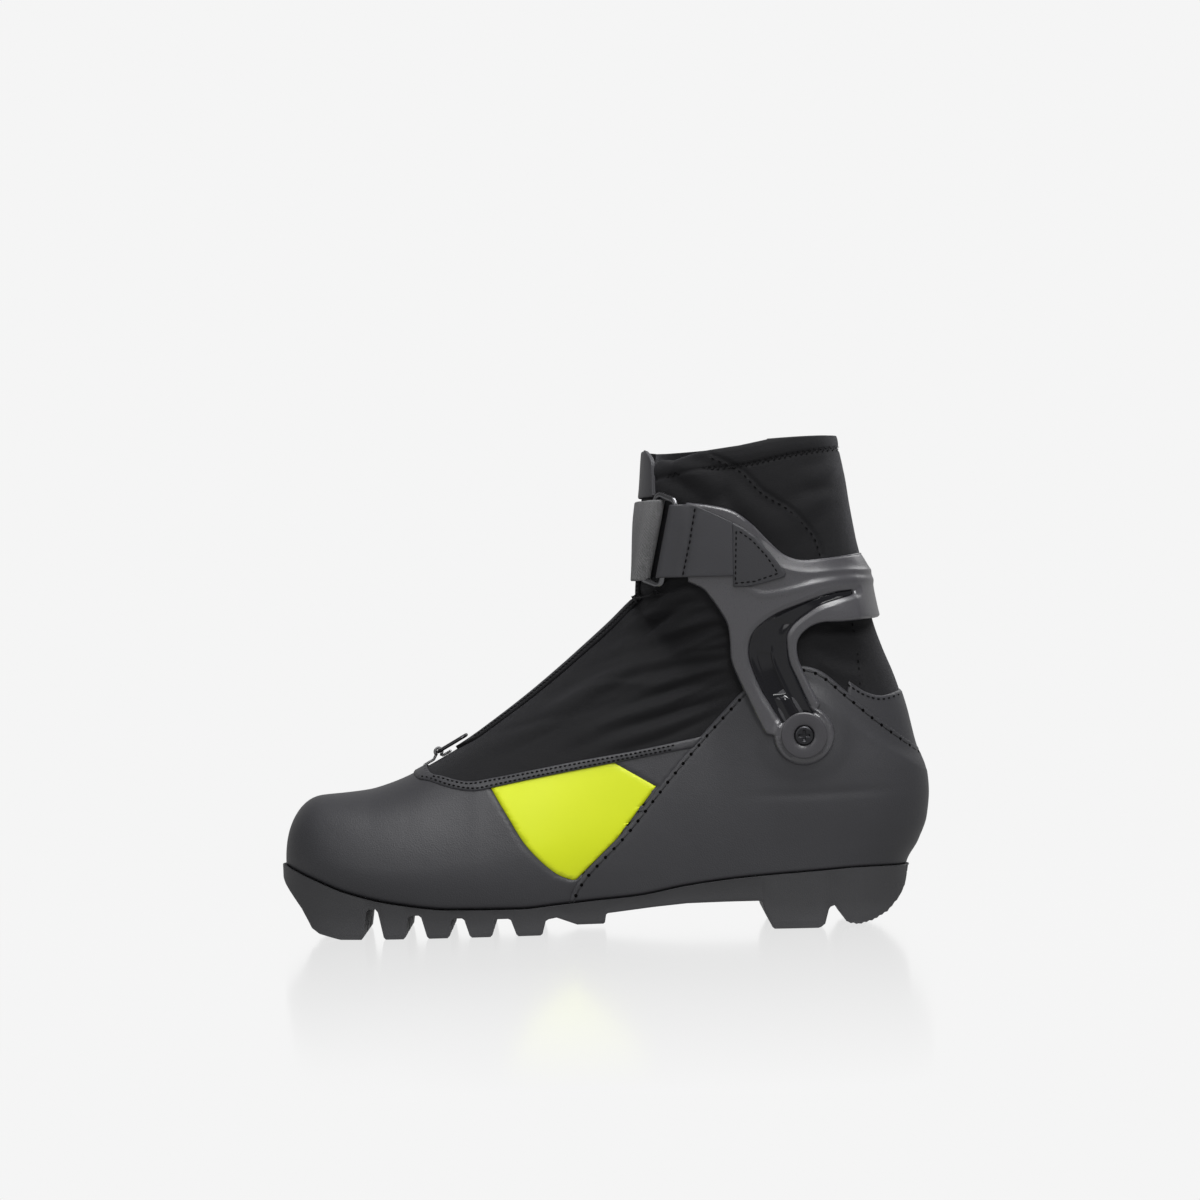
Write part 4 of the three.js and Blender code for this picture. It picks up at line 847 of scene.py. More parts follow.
slope = np.gradient(plan_half, plan_ring[:, 0])
lean = np.hypot(1, slope)
sole_x = plan_ring[:, 0] - SOLE_LIP * slope / lean
sole_half = plan_half + SOLE_LIP / lean
order = np.argsort(sole_x)
sole_x, sole_half = sole_x[order], sole_half[order]


def underside(x, y):
    """Height of the sole's underside: the side profile, cut by grooves, cross cuts and the bar pocket."""
    z = np.interp(x, *UNDERSIDE.T)
    for centre in (-GROOVE_OFFSET, GROOVE_OFFSET):
        wall = np.clip((GROOVE_WIDTH / 2 + 0.4 - np.abs(y - centre)) / 0.8, 0, 1)
        z = np.maximum(z, wall * GROOVE_DEPTH)
    tread = (np.abs(y) > GROOVE_OFFSET + 8) & (np.abs(y) < GROOVE_OFFSET + 15) & (z < 3)
    cut = np.clip((0.5 - np.abs((x + 2.3) % 4.6 - 2.3)) / 0.3, 0, 1)
    z = z + np.where(tread, 0.9 * cut, 0)
    serrated = 0.5 * np.abs((x / 1.25) % 2 - 1) * np.clip((x - 109) / 3, 0, 1)
    z = z + serrated
    pocket = np.clip((5.3 - np.abs(x - BAR[0])) / 0.5, 0, 1)
    pocket = pocket * np.clip((15.4 - np.abs(y - BAR_Y)) / 0.6, 0, 1)
    return np.maximum(z, pocket * (BAR[1] + 5))


corner_x = np.concatenate([
    UNDERSIDE[2:-1, 0], UNDERSIDE[2:-1, 0] + 0.12,
    [BAR[0] - 5.3, BAR[0] - 4.8, BAR[0] + 4.8, BAR[0] + 5.3, -60.4, -60.2, 95.2, 95.4]])
end_low, end_high = sole_x[0] + 0.03, sole_x[-1] - 0.03
station = np.unique(np.concatenate([
    end_low + (end_high - end_low) * (1 - np.cos(np.linspace(0, np.pi, 560))) / 2, corner_x]))
station = station[(station >= end_low) & (station <= end_high)]
half = np.interp(station, sole_x, sole_half)[:, None]
mid = middle(station)[:, None]
under_mid = np.interp(station, *UNDERSIDE.T)[:, None]
top_z = (feather(station) - SOLE_GAP)[:, None]
SHARES = np.linspace(-1, 1, 41)
FIXED = np.array([c + s * w for c in (-GROOVE_OFFSET, GROOVE_OFFSET) for s in (-1, 1) for w in (3.6, 4.4)]
                 + [-12.5, 12.5, -12.2, 12.2, -21.0, -21.3, 21.0, 21.3])
narrow = 1.8 * np.clip((top_z - under_mid) / 14, 0, 1)
low_half = np.maximum(half - narrow - 0.6, 0.4 * half)
spare = (np.arange(len(FIXED)) * 0.004)[None, :]
fixed_y = np.clip(FIXED[None, :], mid - low_half * (0.97 - spare), mid + low_half * (0.97 - spare))
low_y = np.sort(np.concatenate([mid + low_half * SHARES, fixed_y], 1), 1)
low_z = np.minimum(underside(station[:, None], low_y), top_z - 0.6)
wall = np.linspace(0, 1, 9)[None, 1:-1]
edge_z = low_z[:, -1:]
bow = 0.5 * np.sin(wall * np.pi)
right_y = mid + low_half + (half - low_half) * wall ** 0.7 - bow * np.clip(narrow, 0, 1)
right_z = edge_z + (top_z - edge_z) * wall
left_y = 2 * mid - right_y
top_y = np.sort(np.concatenate([mid + half * SHARES[::-2] * 0.999, np.clip(
    np.array([[-12.6, -12.3, 12.3, 12.6]]), mid - half * 0.9, mid + half * 0.9)], 1), 1)[:, ::-1]
bed = (np.abs(top_y) < 12.4) & (station[:, None] > -60.3) & (station[:, None] < 95.3)
lip = 0.4 * np.clip((np.abs(top_y - mid) - (half - SOLE_LIP)) / SOLE_LIP, 0, 1) ** 2
top_rows = top_z - np.where(bed, SOLE_GAP * 2 + 2.35, 0) - lip
section_y = np.concatenate([low_y, right_y, top_y, left_y[:, ::-1]], 1)
section_z = np.concatenate([low_z, right_z, top_rows,
                            (low_z[:, :1] + (top_z - low_z[:, :1]) * wall)[:, ::-1]], 1)
section = np.stack([np.broadcast_to(station[:, None], section_y.shape), section_y, section_z], -1)
stations, around_sole = section_y.shape
cell = np.arange(stations * around_sole).reshape(stations, around_sole)
after = np.roll(cell, -1, 1)
sole_faces = np.stack([cell[:-1], cell[1:], after[1:], after[:-1]], -1).reshape(-1, 4)
pair = around_sole // 2
first_cap = np.stack([cell[0, :pair - 1], cell[0, 1:pair],
                      cell[0, around_sole - 2:around_sole - 1 - pair:-1],
                      cell[0, around_sole - 1:around_sole - pair:-1]], -1)
last_cap = np.stack([cell[-1, 1:pair], cell[-1, :pair - 1], cell[-1, around_sole - 1:around_sole - pair:-1],
                     cell[-1, around_sole - 2:around_sole - 1 - pair:-1]], -1)
outsole = add_mesh("outsole", section, np.vstack([sole_faces, first_cap, last_cap]), rubber)
outsole.data.polygons.foreach_set("use_smooth", np.zeros(len(outsole.data.polygons), bool))
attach(outsole, "lower")
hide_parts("outsole")

# ---------------------------------------------------------------------------------------------
# Cuff: one stiff satin moulding behind the ankle, with a band round the leg and an arm down to each
# pivot. A gloss insert with a slot lies in the window of each arm.
# ---------------------------------------------------------------------------------------------
def satin_finish(name, color, rough, sparkle):
    """Satin moulded plastic: fine spark texture that glints, faint broad shade and paler edges."""
    mat, add, link, _ = new_finish(name, color, rough)
    place = add("ShaderNodeTexCoord").outputs["Object"]
    spark = add("ShaderNodeTexNoise", Vector=place, Scale=3200.0, Detail=3.0)
    broad = add("ShaderNodeTexNoise", Vector=place, Scale=24.0, Detail=3.0)
    bump = add("ShaderNodeBump", Strength=0.22 * sparkle, Distance=0.0002, Height=spark.outputs["Fac"])
    link(bump.outputs["Normal"], "Normal")
    edge = add("ShaderNodeAttribute", attribute_name="edge")
    # Colour made paler within 1.2 millimetres of each cut edge.
    paler_edge = remap(add, edge.outputs["Fac"], 1.3, 1.0, stop=1.2)
    vary = remap(add, broad.outputs["Fac"], 0.9, 1.1)
    glint = remap(add, spark.outputs["Fac"], 1.0, 1.0 + 0.6 * sparkle, start=0.62, stop=0.75)
    both = add("ShaderNodeMath", operation="MULTIPLY", i0=paler_edge, i1=vary)
    all_three = add("ShaderNodeMath", operation="MULTIPLY", i0=both.outputs[0], i1=glint)
    link(shaded(add, color, all_three.outputs[0]), "Base Color")
    gloss = remap(add, spark.outputs["Fac"], max(0.03, rough - 0.08), rough + 0.08)
    link(gloss, "Roughness")
    return mat


satin = satin_finish("satin grey plastic", (0.050, 0.049, 0.055), 0.3, 1.6)
satin.node_tree.nodes["Principled BSDF"].inputs["Specular IOR Level"].default_value = 1.0
gloss_black = satin_finish("gloss black plastic", (0.0045, 0.0045, 0.006), 0.12, 0.1)
CUFF_IN, CUFF_OUT = 0.5, 3.1
FLEX_FORWARD, FLEX_BACK = 18.0, 6.0
HUB = 13.7
CUFF_TOP = smooth_line([(40.5, 197.4), (50.7, 195.9), (60.9, 193.1), (69, 187.2), (76.9, 178.9),
                        (83.9, 172.5), (91.1, 169.8), (101.2, 170.1), (123.3, 172.9)])
CUFF_LOW = smooth_line([(128.1, 142.1), (110.9, 141.1), (100.5, 140.9), (95.4, 139), (90.8, 135),
                        (89.1, 130.5), (90, 123.3), (94.7, 111.9), (99, 103)])
CUFF_FRONT = smooth_line([(74, 90), (70.9, 96.2), (66.5, 106), (62, 116), (59, 124.5), (58.5, 133.2),
                          (57.6, 140.6), (54.7, 146.6), (50.7, 152.8), (47, 157.6), (40.5, 161)])
HUB_ARC = [ray(61 - 241 * i / 40, HUB) for i in range(41)]
CUFF = [*CUFF_TOP, (150, 173.5), (150, 142.5), *CUFF_LOW, *HUB_ARC, *CUFF_FRONT]
RECESS_UPPER = smooth_line([(115.3, 154.5), (105.9, 153.6), (90.6, 149), (80.3, 145.1), (73.9, 141.1),
                            (69.7, 137.1), (67.7, 132.1), (67.5, 125.8), (72.3, 112), (77.6, 102.6),
                            (82.0, 95.0)])
RECESS_LOWER = smooth_line([(95.6, 98.4), (93.2, 103.4), (88.3, 114.9), (85.1, 122.5), (84, 130.6),
                            (84.1, 135.8), (87.2, 140.8), (93.6, 145.7), (100.7, 149.6), (115.3, 153.2)])
RECESS = [*RECESS_UPPER, *RECESS_LOWER]


def cuff_lift(x, z):
    """Extra width under the cuff: the widest skin that comes under a point as it turns about the pivot."""
    dx, dz = x - PIVOT[0], z - PIVOT[1]
    fade = np.clip((82 - np.hypot(dx, dz)) / 28, 0, 1)
    here = half_width(x, z)
    most = here
    for turn in np.radians(np.linspace(-FLEX_BACK, FLEX_FORWARD, 7)):
        u = PIVOT[0] + dx * np.cos(turn) - dz * np.sin(turn)
        w = PIVOT[1] + dx * np.sin(turn) + dz * np.cos(turn)
        most = np.maximum(most, half_width(u, w))
    return (most - here + 0.6) * fade * fade * (3 - 2 * fade) * np.minimum(1, here / 24) ** 2


def bump_line(line, x, z, height, wide):
    """A rounded rib of that height and half width along an open side-view line."""
    return height * np.exp(-(line_distance(line, x, z) / wide) ** 2)


RIB_HIGH = smooth_line([(68, 176), (80, 167.5), (92, 163.8), (108, 163.6), (150, 164.6)])
RIB_LOW = smooth_line([(64, 160), (72, 154.6), (84, 155.4), (98, 158.2), (112, 159.4), (150, 159.4)])


def cuff_relief(x, z, side, dist):
    """Two ribs that run back along the band, a chamfer round the window and a raised hub."""
    window = -outline_distance(RECESS, x, z)
    r = np.hypot(x - PIVOT[0], z - PIVOT[1])
    rim = -1.3 * np.clip(1 - window / 2.8, 0, 1) * (r > CAP_RADIUS)
    hub = 0.5 / (1 + np.exp((r - HUB + 0.6) / 0.3)) - 0.45 * np.exp(-((r - CAP_RADIUS - 0.7) / 0.5) ** 2)
    above = np.clip(z - np.interp(x, *RIB_HIGH.T) - 0.5, 0, 9) * np.clip((x - 66) / 8, 0, 1)
    ribs = bump_line(RIB_HIGH, x, z, 0.3, 1.4) + bump_line(RIB_LOW, x, z, 0.6, 1.8) - 0.34 * above
    return rim + hub + ribs


CAP_RADIUS, HEAD_RADIUS, BUSH_RADIUS = 10.7, 4.3, 4.4
cuff = skin_piece("cuff_shell", satin, lambda x, z, s: np.minimum(np.minimum(
    outline_distance(CUFF, x, z), -outline_distance(RECESS, x, z)),
    np.hypot(x - PIVOT[0], z - PIVOT[1]) - BUSH_RADIUS - 0.35), CUFF_OUT, CUFF_IN, 1.3, rows=(0.28, 0.95),
    size=(680, 300), lift=cuff_lift, relief=cuff_relief)
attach(cuff, "cuff")
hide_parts("cuff_shell")


def insert_sheet(name, side):
    """The gloss insert between the two edges of the window, as a ruled grid: u runs from the tail to the
    hub, v from the front edge to the back edge. The slot is closed by a gloss black floor sunk almost to the
    insert's back, painted shade for the slot's dark inside."""
    front = inset(by_spacing(RECESS_UPPER, 300), 0.3)
    back = inset(by_spacing(RECESS_LOWER[::-1], 300), -0.3)
    u = np.linspace(0, 1, 300)
    front_u, back_u = np.linspace(0.01, 1, 300), np.linspace(0.02, 1, 300)
    front = np.stack([np.interp(front_u, u, front[:, k]) for k in (0, 1)], 1)
    back = np.stack([np.interp(back_u, u, back[:, k]) for k in (0, 1)], 1)
    v = np.sort(np.concatenate([np.linspace(0, 1, 41), [0.19, 0.21, 0.56, 0.58]]))
    place = front[:, None] + (back - front)[:, None] * v[None, :, None]
    down, across = u[:, None], v[None, :]
    hole = (down > SLOT_START) & (down < SLOT_END) & (across > 0.2) & (across < 0.57)
    ground = 1.35 + 0 * down * across
    back_wall = 1.0 * ease((across - 0.62) / 0.38)
    front_wall = 0.7 * ease((0.12 - across) / 0.12)
    lip = 0.45 * np.exp(-((across - 0.6) / 0.03) ** 2) * ease((down - SLOT_START + 0.05) / 0.05)
    shelf = 0.9 * ease((0.42 - down) / 0.03) * ease((across - 0.1) / 0.1)
    shelf = shelf * (1 - 0.6 * ease((0.12 - down) / 0.03))
    widening = 0.37 + 1.5 * np.clip(down - SLOT_END, 0, 1)
    inside = (down > SLOT_END) * (0.5 - np.abs(across - 0.385) / widening)
    cone = 0.9 * np.clip(inside * 3, 0, 1) * ease((down - SLOT_END) / 0.04)
    depth = ground + np.maximum(back_wall, shelf) + front_wall + lip + cone
    # The slot gets a floor near the insert's back in the insert's gloss black: a dark sheet put there as
    # painted shade for the inside of the slot.
    depth = np.where(hole, CUFF_IN + 0.12, np.minimum(depth, 2.7))
    outer, _ = on_side(place[..., 0].ravel(), place[..., 1].ravel(), side, depth.ravel(), cuff_lift)
    inner, _ = on_side(place[..., 0].ravel(), place[..., 1].ravel(), side,
                       np.full(depth.size, CUFF_IN), cuff_lift)
    rows, columns = depth.shape
    cell = np.arange(rows * columns).reshape(rows, columns)
    quads = np.stack([cell[:-1, :-1], cell[:-1, 1:], cell[1:, 1:], cell[1:, :-1]], -1)
    faces = quads.reshape(-1, 4)
    edges = np.concatenate([faces[:, [k, (k + 1) % 4]] for k in range(4)])
    key = np.sort(edges, 1) @ np.array([cell.size, 1])
    _, first, count = np.unique(key, return_index=True, return_counts=True)
    border = edges[first[count == 1]]
    skirt = np.stack([border[:, 1], border[:, 0], border[:, 0] + cell.size, border[:, 1] + cell.size], 1)
    every = np.vstack([faces, faces[:, ::-1] + cell.size, skirt])
    if side > 0:
        every = every[:, ::-1]
    used, every = np.unique(every, return_inverse=True)
    return add_mesh(name, np.vstack([outer, inner])[used], every.reshape(-1, 4), gloss_black)


def by_spacing(path, count):
    """The same line with that many points, evenly spaced."""
    run = np.concatenate([[0], np.cumsum(np.linalg.norm(np.diff(path, axis=0), axis=1))])
    even = np.linspace(0, run[-1], count)
    return np.stack([np.interp(even, run, path[:, k]) for k in (0, 1)], 1)


def ease(u):
    """Zero to one with level ends."""
    u = np.clip(u, 0, 1)
    return u * u * (3 - 2 * u)


SLOT_START, SLOT_END = 0.605, 0.845
for side_name, side_sign in (("medial", -1), ("lateral", 1)):
    insert = insert_sheet(f"cuff_insert_{side_name}", side_sign)
    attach(insert, "cuff")
    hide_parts(f"cuff_insert_{side_name}")

# ---------------------------------------------------------------------------------------------
# Ankle pivots: a steel bush and nut, a turned cap on the hub and a screw with a cross recess.
# Each is a round piece about the pivot's own line.
# ---------------------------------------------------------------------------------------------
def turned(name, finish, side, outline, sides=96, press=None):
    """A closed ring of outline points (radius, distance out) carried round the pivot line.
    press(u, w) gives a depth pushed into the outer face at a place on it."""
    angle = np.linspace(0, 2 * np.pi, sides, endpoint=False)
    radius, out = np.array(outline, float).T
    u = radius[:, None] * np.cos(angle)
    w = radius[:, None] * np.sin(angle)
    y = np.broadcast_to(out[:, None], u.shape)
    if press:
        y = y - press(u, w) * (y > out.max() - 0.45)
    points = np.stack([PIVOT[0] + u, side * y, PIVOT[1] + w], -1)
    cell = np.arange(len(outline) * sides).reshape(len(outline), sides)
    after = np.roll(cell, -1, 1)
    faces = np.stack([cell[:-1], after[:-1], after[1:], cell[1:]], -1).reshape(-1, 4)
    if radius[0] > 0.01:
        faces = np.vstack([faces, np.stack([cell[-1], after[-1], after[0], cell[0]], -1)])
    if side > 0:
        faces = faces[:, ::-1]
    return add_mesh(name, points, faces, finish)


def steel_finish(name, color, rough):
    """Worked metal: fine turning lines and small changes in gloss."""
    mat, add, link, _ = new_finish(name, color, rough, 1.0)
    place = add("ShaderNodeTexCoord").outputs["Object"]
    mark = add("ShaderNodeTexNoise", Vector=place, Scale=900.0, Detail=4.0)
    bump = add("ShaderNodeBump", Strength=0.12, Distance=0.0002, Height=mark.outputs["Fac"])
    link(bump.outputs[0], "Normal")
    gloss = remap(add, mark.outputs["Fac"], rough - 0.08, rough + 0.12)
    link(gloss, "Roughness")
    tint = add("ShaderNodeMixRGB", Color1=(*color, 1), Color2=(*[c * 0.75 for c in color], 1),
               Fac=mark.outputs["Fac"])
    link(tint.outputs[0], "Base Color")
    return mat


steel = steel_finish("steel", (0.42, 0.42, 0.44), 0.3)
dark_steel = steel_finish("blackened steel", (0.06, 0.06, 0.065), 0.35)
cap_plastic = satin_finish("dark cap plastic", (0.040, 0.039, 0.043), 0.3, 0.4)


def cross(u, w):
    """Depth of a cross recess: two slots that taper to their ends, one millimetre deep."""
    arm = np.minimum(np.abs(u), np.abs(w)) < 0.62
    reach = np.clip((2.7 - np.maximum(np.abs(u), np.abs(w))) / 0.5, 0, 1)
    return 1.0 * arm * reach


for side_name, side_sign in (("medial", -1), ("lateral", 1)):
    low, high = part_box(f"pivot_cap_{side_name}")
    cap_in, cap_out = sorted(abs(v / MM - SHIFT[1]) for v in (low[1], high[1]))
    cap_line = [(HEAD_RADIUS + 0.3, cap_in), (CAP_RADIUS, cap_in), (CAP_RADIUS, cap_out - 0.7),
                (CAP_RADIUS - 0.25, cap_out - 0.2), (CAP_RADIUS - 0.8, cap_out),
                (HEAD_RADIUS + 1.6, cap_out - 0.15),
                (HEAD_RADIUS + 0.9, cap_out - 0.5), (HEAD_RADIUS + 0.3, cap_out - 0.6)]
    cap = turned(f"pivot_cap_{side_name}", cap_plastic, side_sign, cap_line)
    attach(cap, "lower")
    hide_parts(f"pivot_cap_{side_name}")
    low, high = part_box(f"pivot_screw_{side_name}")
    screw_in, screw_out = sorted(abs(v / MM - SHIFT[1]) for v in (low[1], high[1]))
    head = [(0.005, screw_in), (2.4, screw_in), (2.4, cap_in - 0.2), (HEAD_RADIUS, cap_in),
            (HEAD_RADIUS, screw_out - 0.5),
            (HEAD_RADIUS - 0.4, screw_out - 0.1)]
    head += [(r, screw_out) for r in np.linspace(HEAD_RADIUS - 0.9, 0.005, 16)]
    screw = turned(f"pivot_screw_{side_name}", dark_steel, side_sign, head, press=cross)
    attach(screw, "lower")
    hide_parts(f"pivot_screw_{side_name}")
    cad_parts[f"pivot_bush_{side_name}"].data.materials.clear()
    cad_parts[f"pivot_bush_{side_name}"].data.materials.append(dark_steel)
    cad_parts[f"pivot_nut_{side_name}"].data.materials.clear()
    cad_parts[f"pivot_nut_{side_name}"].data.materials.append(steel)

# ---------------------------------------------------------------------------------------------
# Closing strap: a hook-and-loop strap round the front of the shaft. It turns through a steel ring
# held by a folded leather tab on the inner side; its free end lies over the cuff on the outer side.
# ---------------------------------------------------------------------------------------------
def around_shaft(s, depth, z):
    """Points beside the shaft: s runs round each level from the front, positive on the outer side."""
    rows = []
    for level, row_s, row_depth in zip(z, s, depth):
        front = float(shin_line(level))
        x = front + (76 - front) * np.linspace(0, 1, 500) ** 2
        wide = half_width(x, level)
        wide[0] = 0
        xs = np.concatenate([x[::-1], x[1:]])
        ys = np.concatenate([middle(x[::-1]) - wide[::-1], middle(x[1:]) + wide[1:]])
        run = np.concatenate([[0], np.cumsum(np.hypot(np.diff(xs), np.diff(ys)))])
        run -= run[len(x) - 1]
        at = np.stack([np.interp(row_s, run, xs), np.interp(row_s, run, ys)], -1)
        ahead = np.stack([np.interp(row_s + 1.5, run, xs) - np.interp(row_s - 1.5, run, xs),
                          np.interp(row_s + 1.5, run, ys) - np.interp(row_s - 1.5, run, ys)], -1)
        ahead /= np.linalg.norm(ahead, axis=1, keepdims=True)
        out = np.stack([-ahead[:, 1], ahead[:, 0]], -1)
        rows.append(np.column_stack([at + out * row_depth[:, None], np.full(len(row_s), level)]))
    return np.array(rows)


def shaft_run(x, z, side):
    """The s of a side-view place on the shaft."""
    front = shin_line(z)
    xs = front + (76 - front) * np.linspace(0, 1, 500) ** 2
    wide = half_width(xs, z)
    wide[0] = 0
    ys = middle(xs) + side * wide
    run = np.concatenate([[0], np.cumsum(np.hypot(np.diff(xs), np.diff(ys)))])
    return side * float(np.interp(x, xs, run))


def thick_path(path, thickness, caps=5):
    """Closed outline of a strip of that thickness along a path of (s, depth), with rounded ends."""
    path = np.asarray(path, float)
    ahead = np.gradient(path, axis=0)
    ahead /= np.linalg.norm(ahead, axis=1, keepdims=True)
    across = np.stack([-ahead[:, 1], ahead[:, 0]], 1) * thickness / 2
    turn = np.linspace(0, np.pi, caps + 2)[1:-1, None]
    end = path[-1] + across[-1] * np.cos(turn) + ahead[-1] * np.sin(turn) * thickness / 2
    start = path[0] - across[0] * np.cos(turn) - ahead[0] * np.sin(turn) * thickness / 2
    return np.vstack([path + across, end, (path - across)[::-1], start])


def strip(name, finish, levels, path_at, thickness, samples, round_end=0.0):
    """A flat strap of constant thickness: a thick path at each level, its long edges rounded over."""
    rows, runs = [], []
    low, high = levels[0], levels[-1]
    for z in levels:
        path = np.asarray(path_at(z), float)
        run = np.concatenate([[0], np.cumsum(np.linalg.norm(np.diff(path, axis=0), axis=1))])
        even = np.linspace(0, run[-1], samples)
        path = np.stack([np.interp(even, run, path[:, k]) for k in (0, 1)], 1)
        near = min(z - low, high - z)
        slim = np.sqrt(max(0.12, 1 - max(0, 1 - near / 0.7) ** 2))
        rows.append(thick_path(path, thickness * slim))
        runs.append(np.concatenate([even, np.full(5, run[-1]), even[::-1], np.zeros(5)]))
    outline = np.array(rows)
    points = around_shaft(outline[..., 0], outline[..., 1], levels)
    if round_end:
        left = runs[0].max() - np.array(runs)
        short = np.clip(round_end - left, 0, round_end)
        pinch = round_end - np.sqrt(np.clip(round_end ** 2 - short ** 2, 0, None))
        centre = (low + high) / 2
        share = (high - low) / 2
        points[..., 2] = centre + (points[..., 2] - centre) * (1 - pinch / share)
    count = outline.shape[1]
    cell = np.arange(len(levels) * count).reshape(len(levels), count)
    after = np.roll(cell, -1, 1)
    faces = np.stack([cell[:-1], cell[1:], after[1:], after[:-1]], -1).reshape(-1, 4)
    k = np.arange(samples - 1)
    back = 2 * samples + 4 - k
    bottom = np.stack([cell[0, k], cell[0, k + 1], cell[0, back - 1], cell[0, back]], -1)
    top = np.stack([cell[-1, k + 1], cell[-1, k], cell[-1, back], cell[-1, back - 1]], -1)
    end = np.arange(samples - 1, samples + 5)
    cap_end = np.array([[cell[0, end[0]], cell[0, end[1]], cell[0, end[5]], cell[0, samples + 5]],
                        [cell[0, end[1]], cell[0, end[2]], cell[0, end[4]], cell[0, end[5]]]])
    start = np.concatenate([[2 * samples + 4], np.arange(2 * samples + 5, 2 * samples + 10), [0]])
    cap_start = np.array([[cell[0, start[0]], cell[0, start[1]], cell[0, start[5]], cell[0, start[6]]],
                          [cell[0, start[1]], cell[0, start[2]], cell[0, start[4]], cell[0, start[5]]]])
    lift_up = cell[-1, 0] - cell[0, 0]
    ends = np.vstack([cap_end, cap_start])
    faces = np.vstack([faces, bottom, top, ends, ends[:, ::-1] + lift_up])
    uv = np.stack([np.array(runs), np.broadcast_to(np.asarray(levels)[:, None], outline.shape[:2])],
                  -1).reshape(-1, 2)
    return add_mesh(name, points, faces, finish, uv)


def arc_path(centre, radius, start, stop, count=14):
    """Points (s, depth) on an arc about a centre, between two angles in degrees."""
    angle = np.radians(np.linspace(start, stop, count))
    return np.stack([centre[0] + radius * np.cos(angle), centre[1] + radius * np.sin(angle)], 1)


def loop_finish(name, color):
    """Hook-and-loop tape: a fuzzy nap of fine loops over a ribbed ground."""
    mat, add, link, shader = new_finish(name, color, 0.85)
    shader.inputs["Sheen Weight"].default_value = 0.5
    shader.inputs["Sheen Tint"].default_value = (0.6, 0.6, 0.62, 1)
    uv = add("ShaderNodeUVMap", uv_map="surface").outputs["UV"]
    parts = add("ShaderNodeSeparateXYZ", Vector=uv)
    place = add("ShaderNodeTexCoord").outputs["Object"]
    row_x = add("ShaderNodeMath", operation="MULTIPLY", i0=parts.outputs["X"], i1=2 * math.pi / 1.1)
    row_z = add("ShaderNodeMath", operation="MULTIPLY", i0=parts.outputs["Y"], i1=2 * math.pi / 0.9)
    wave_x = add("ShaderNodeMath", operation="SINE", i0=row_x.outputs[0])
    wave_z = add("ShaderNodeMath", operation="SINE", i0=row_z.outputs[0])
    grid = add("ShaderNodeMath", operation="MULTIPLY", i0=wave_x.outputs[0], i1=wave_z.outputs[0])
    nap = add("ShaderNodeTexNoise", Vector=place, Scale=1100.0, Detail=5.0, Roughness=0.75)
    height = add("ShaderNodeMath", operation="MULTIPLY_ADD", i0=nap.outputs["Fac"], i1=2.2,
                 i2=grid.outputs[0])
    bump = add("ShaderNodeBump", Strength=0.8, Distance=0.0005, Height=height.outputs[0])
    link(bump.outputs["Normal"], "Normal")
    shade = remap(add, nap.outputs["Fac"], 0.55, 1.5, start=0.3, stop=0.7)
    link(shaded(add, color, shade), "Base Color")
    return mat


tape = loop_finish("hook-and-loop tape", (0.15, 0.15, 0.153))
STRAP_TOP, STRAP_WIDTH, RING_OUT, WIRE = 199.0, 37.0, 4.2, 1.5
STRAP_LOW = STRAP_TOP - STRAP_WIDTH
GAP, STRAP_THICK, FLAP_START, FLAP_END = 0.35, 1.6, 11.0, 52.0


def strap_edge(z):
    """Side-view place of the ring's front bar."""
    return 22 + 0.2 * (z - STRAP_LOW)


def tab_edge(z):
    """Side-view place of the ring's back bar."""
    return strap_edge(z) + 8.5


def strap_path(z):
    """From the outer side round the front and the ring's front bar, then over itself to the outer side."""
    bar = shaft_run(strap_edge(z), z, -1)
    far = shaft_run(37.0, z, 1)
    under = GAP + 0.65
    over = GAP + 1.6 + STRAP_THICK / 2
    going = np.stack([np.linspace(far, bar + 0.5, 60), np.full(60, under)], 1)
    turn = arc_path((bar, RING_OUT), RING_OUT - under, 270, 90, 20)
    back_s = np.linspace(bar + 0.8, FLAP_START, 60)
    top = 2 * RING_OUT - under
    back = np.stack([back_s, over + (top - over) * (1 - ease((back_s - bar) / 11))], 1)
    return np.vstack([going, turn, back])


levels = np.concatenate([STRAP_LOW + np.array([0, 0.25, 0.6]),
                         np.linspace(STRAP_LOW + 1.2, STRAP_TOP - 1.2, 26),
                         STRAP_TOP - np.array([0.6, 0.25, 0])])
strap = strip("strap", tape, levels, strap_path, 1.3, 220)
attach(strap, "cuff")
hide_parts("strap")


def flap_path(z):
    """The free end: it leaves the strap on the outer side and climbs over the cuff's edge."""
    s = np.linspace(FLAP_START + 0.5, shaft_run(FLAP_END, z, 1), 60)
    x_like = np.interp(s, [shaft_run(x, z, 1) for x in (24.0, 30.0, 38.0, 52.0)], [24.0, 30.0, 38.0, 52.0])
    over = GAP + 1.6 + STRAP_THICK / 2
    return np.stack([s, over + (CUFF_OUT - 0.6 - GAP) * ease((x_like - 25) / 12)], 1)


flap = strip("strap_flap", tape, levels, flap_path, 1.5, 60, round_end=7.0)
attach(flap, "strap_end")
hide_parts("strap_flap")


def tab_path(z):
    """From the patch forward over the cuff, round the ring's back bar and a little way back under."""
    bar = shaft_run(tab_edge(z), z, -1)
    seam_x = float(np.interp(z, [161, 187.6, 190.6, 193.6, 197], [60.3, 60.3, 54.5, 48.8, 42]))
    seam = shaft_run(seam_x, z, -1)
    radius = WIRE + GAP + 0.6
    flat = CUFF_OUT + GAP + 0.6
    s = np.linspace(seam, bar - 0.3, 60)
    top = RING_OUT + radius
    fold = 1.2 * (1 - ease((bar - s - 7.6) / 3.4)) + (top - flat - 1.2) * (1 - ease((bar - s) / 4))
    over = np.stack([s, flat + fold], 1)
    turn = arc_path((bar, RING_OUT), radius, 90, -90, 18)
    back = np.stack([np.linspace(bar - 0.4, bar - 3.0, 6), np.full(6, RING_OUT - radius)], 1)
    return np.vstack([over, turn, back])


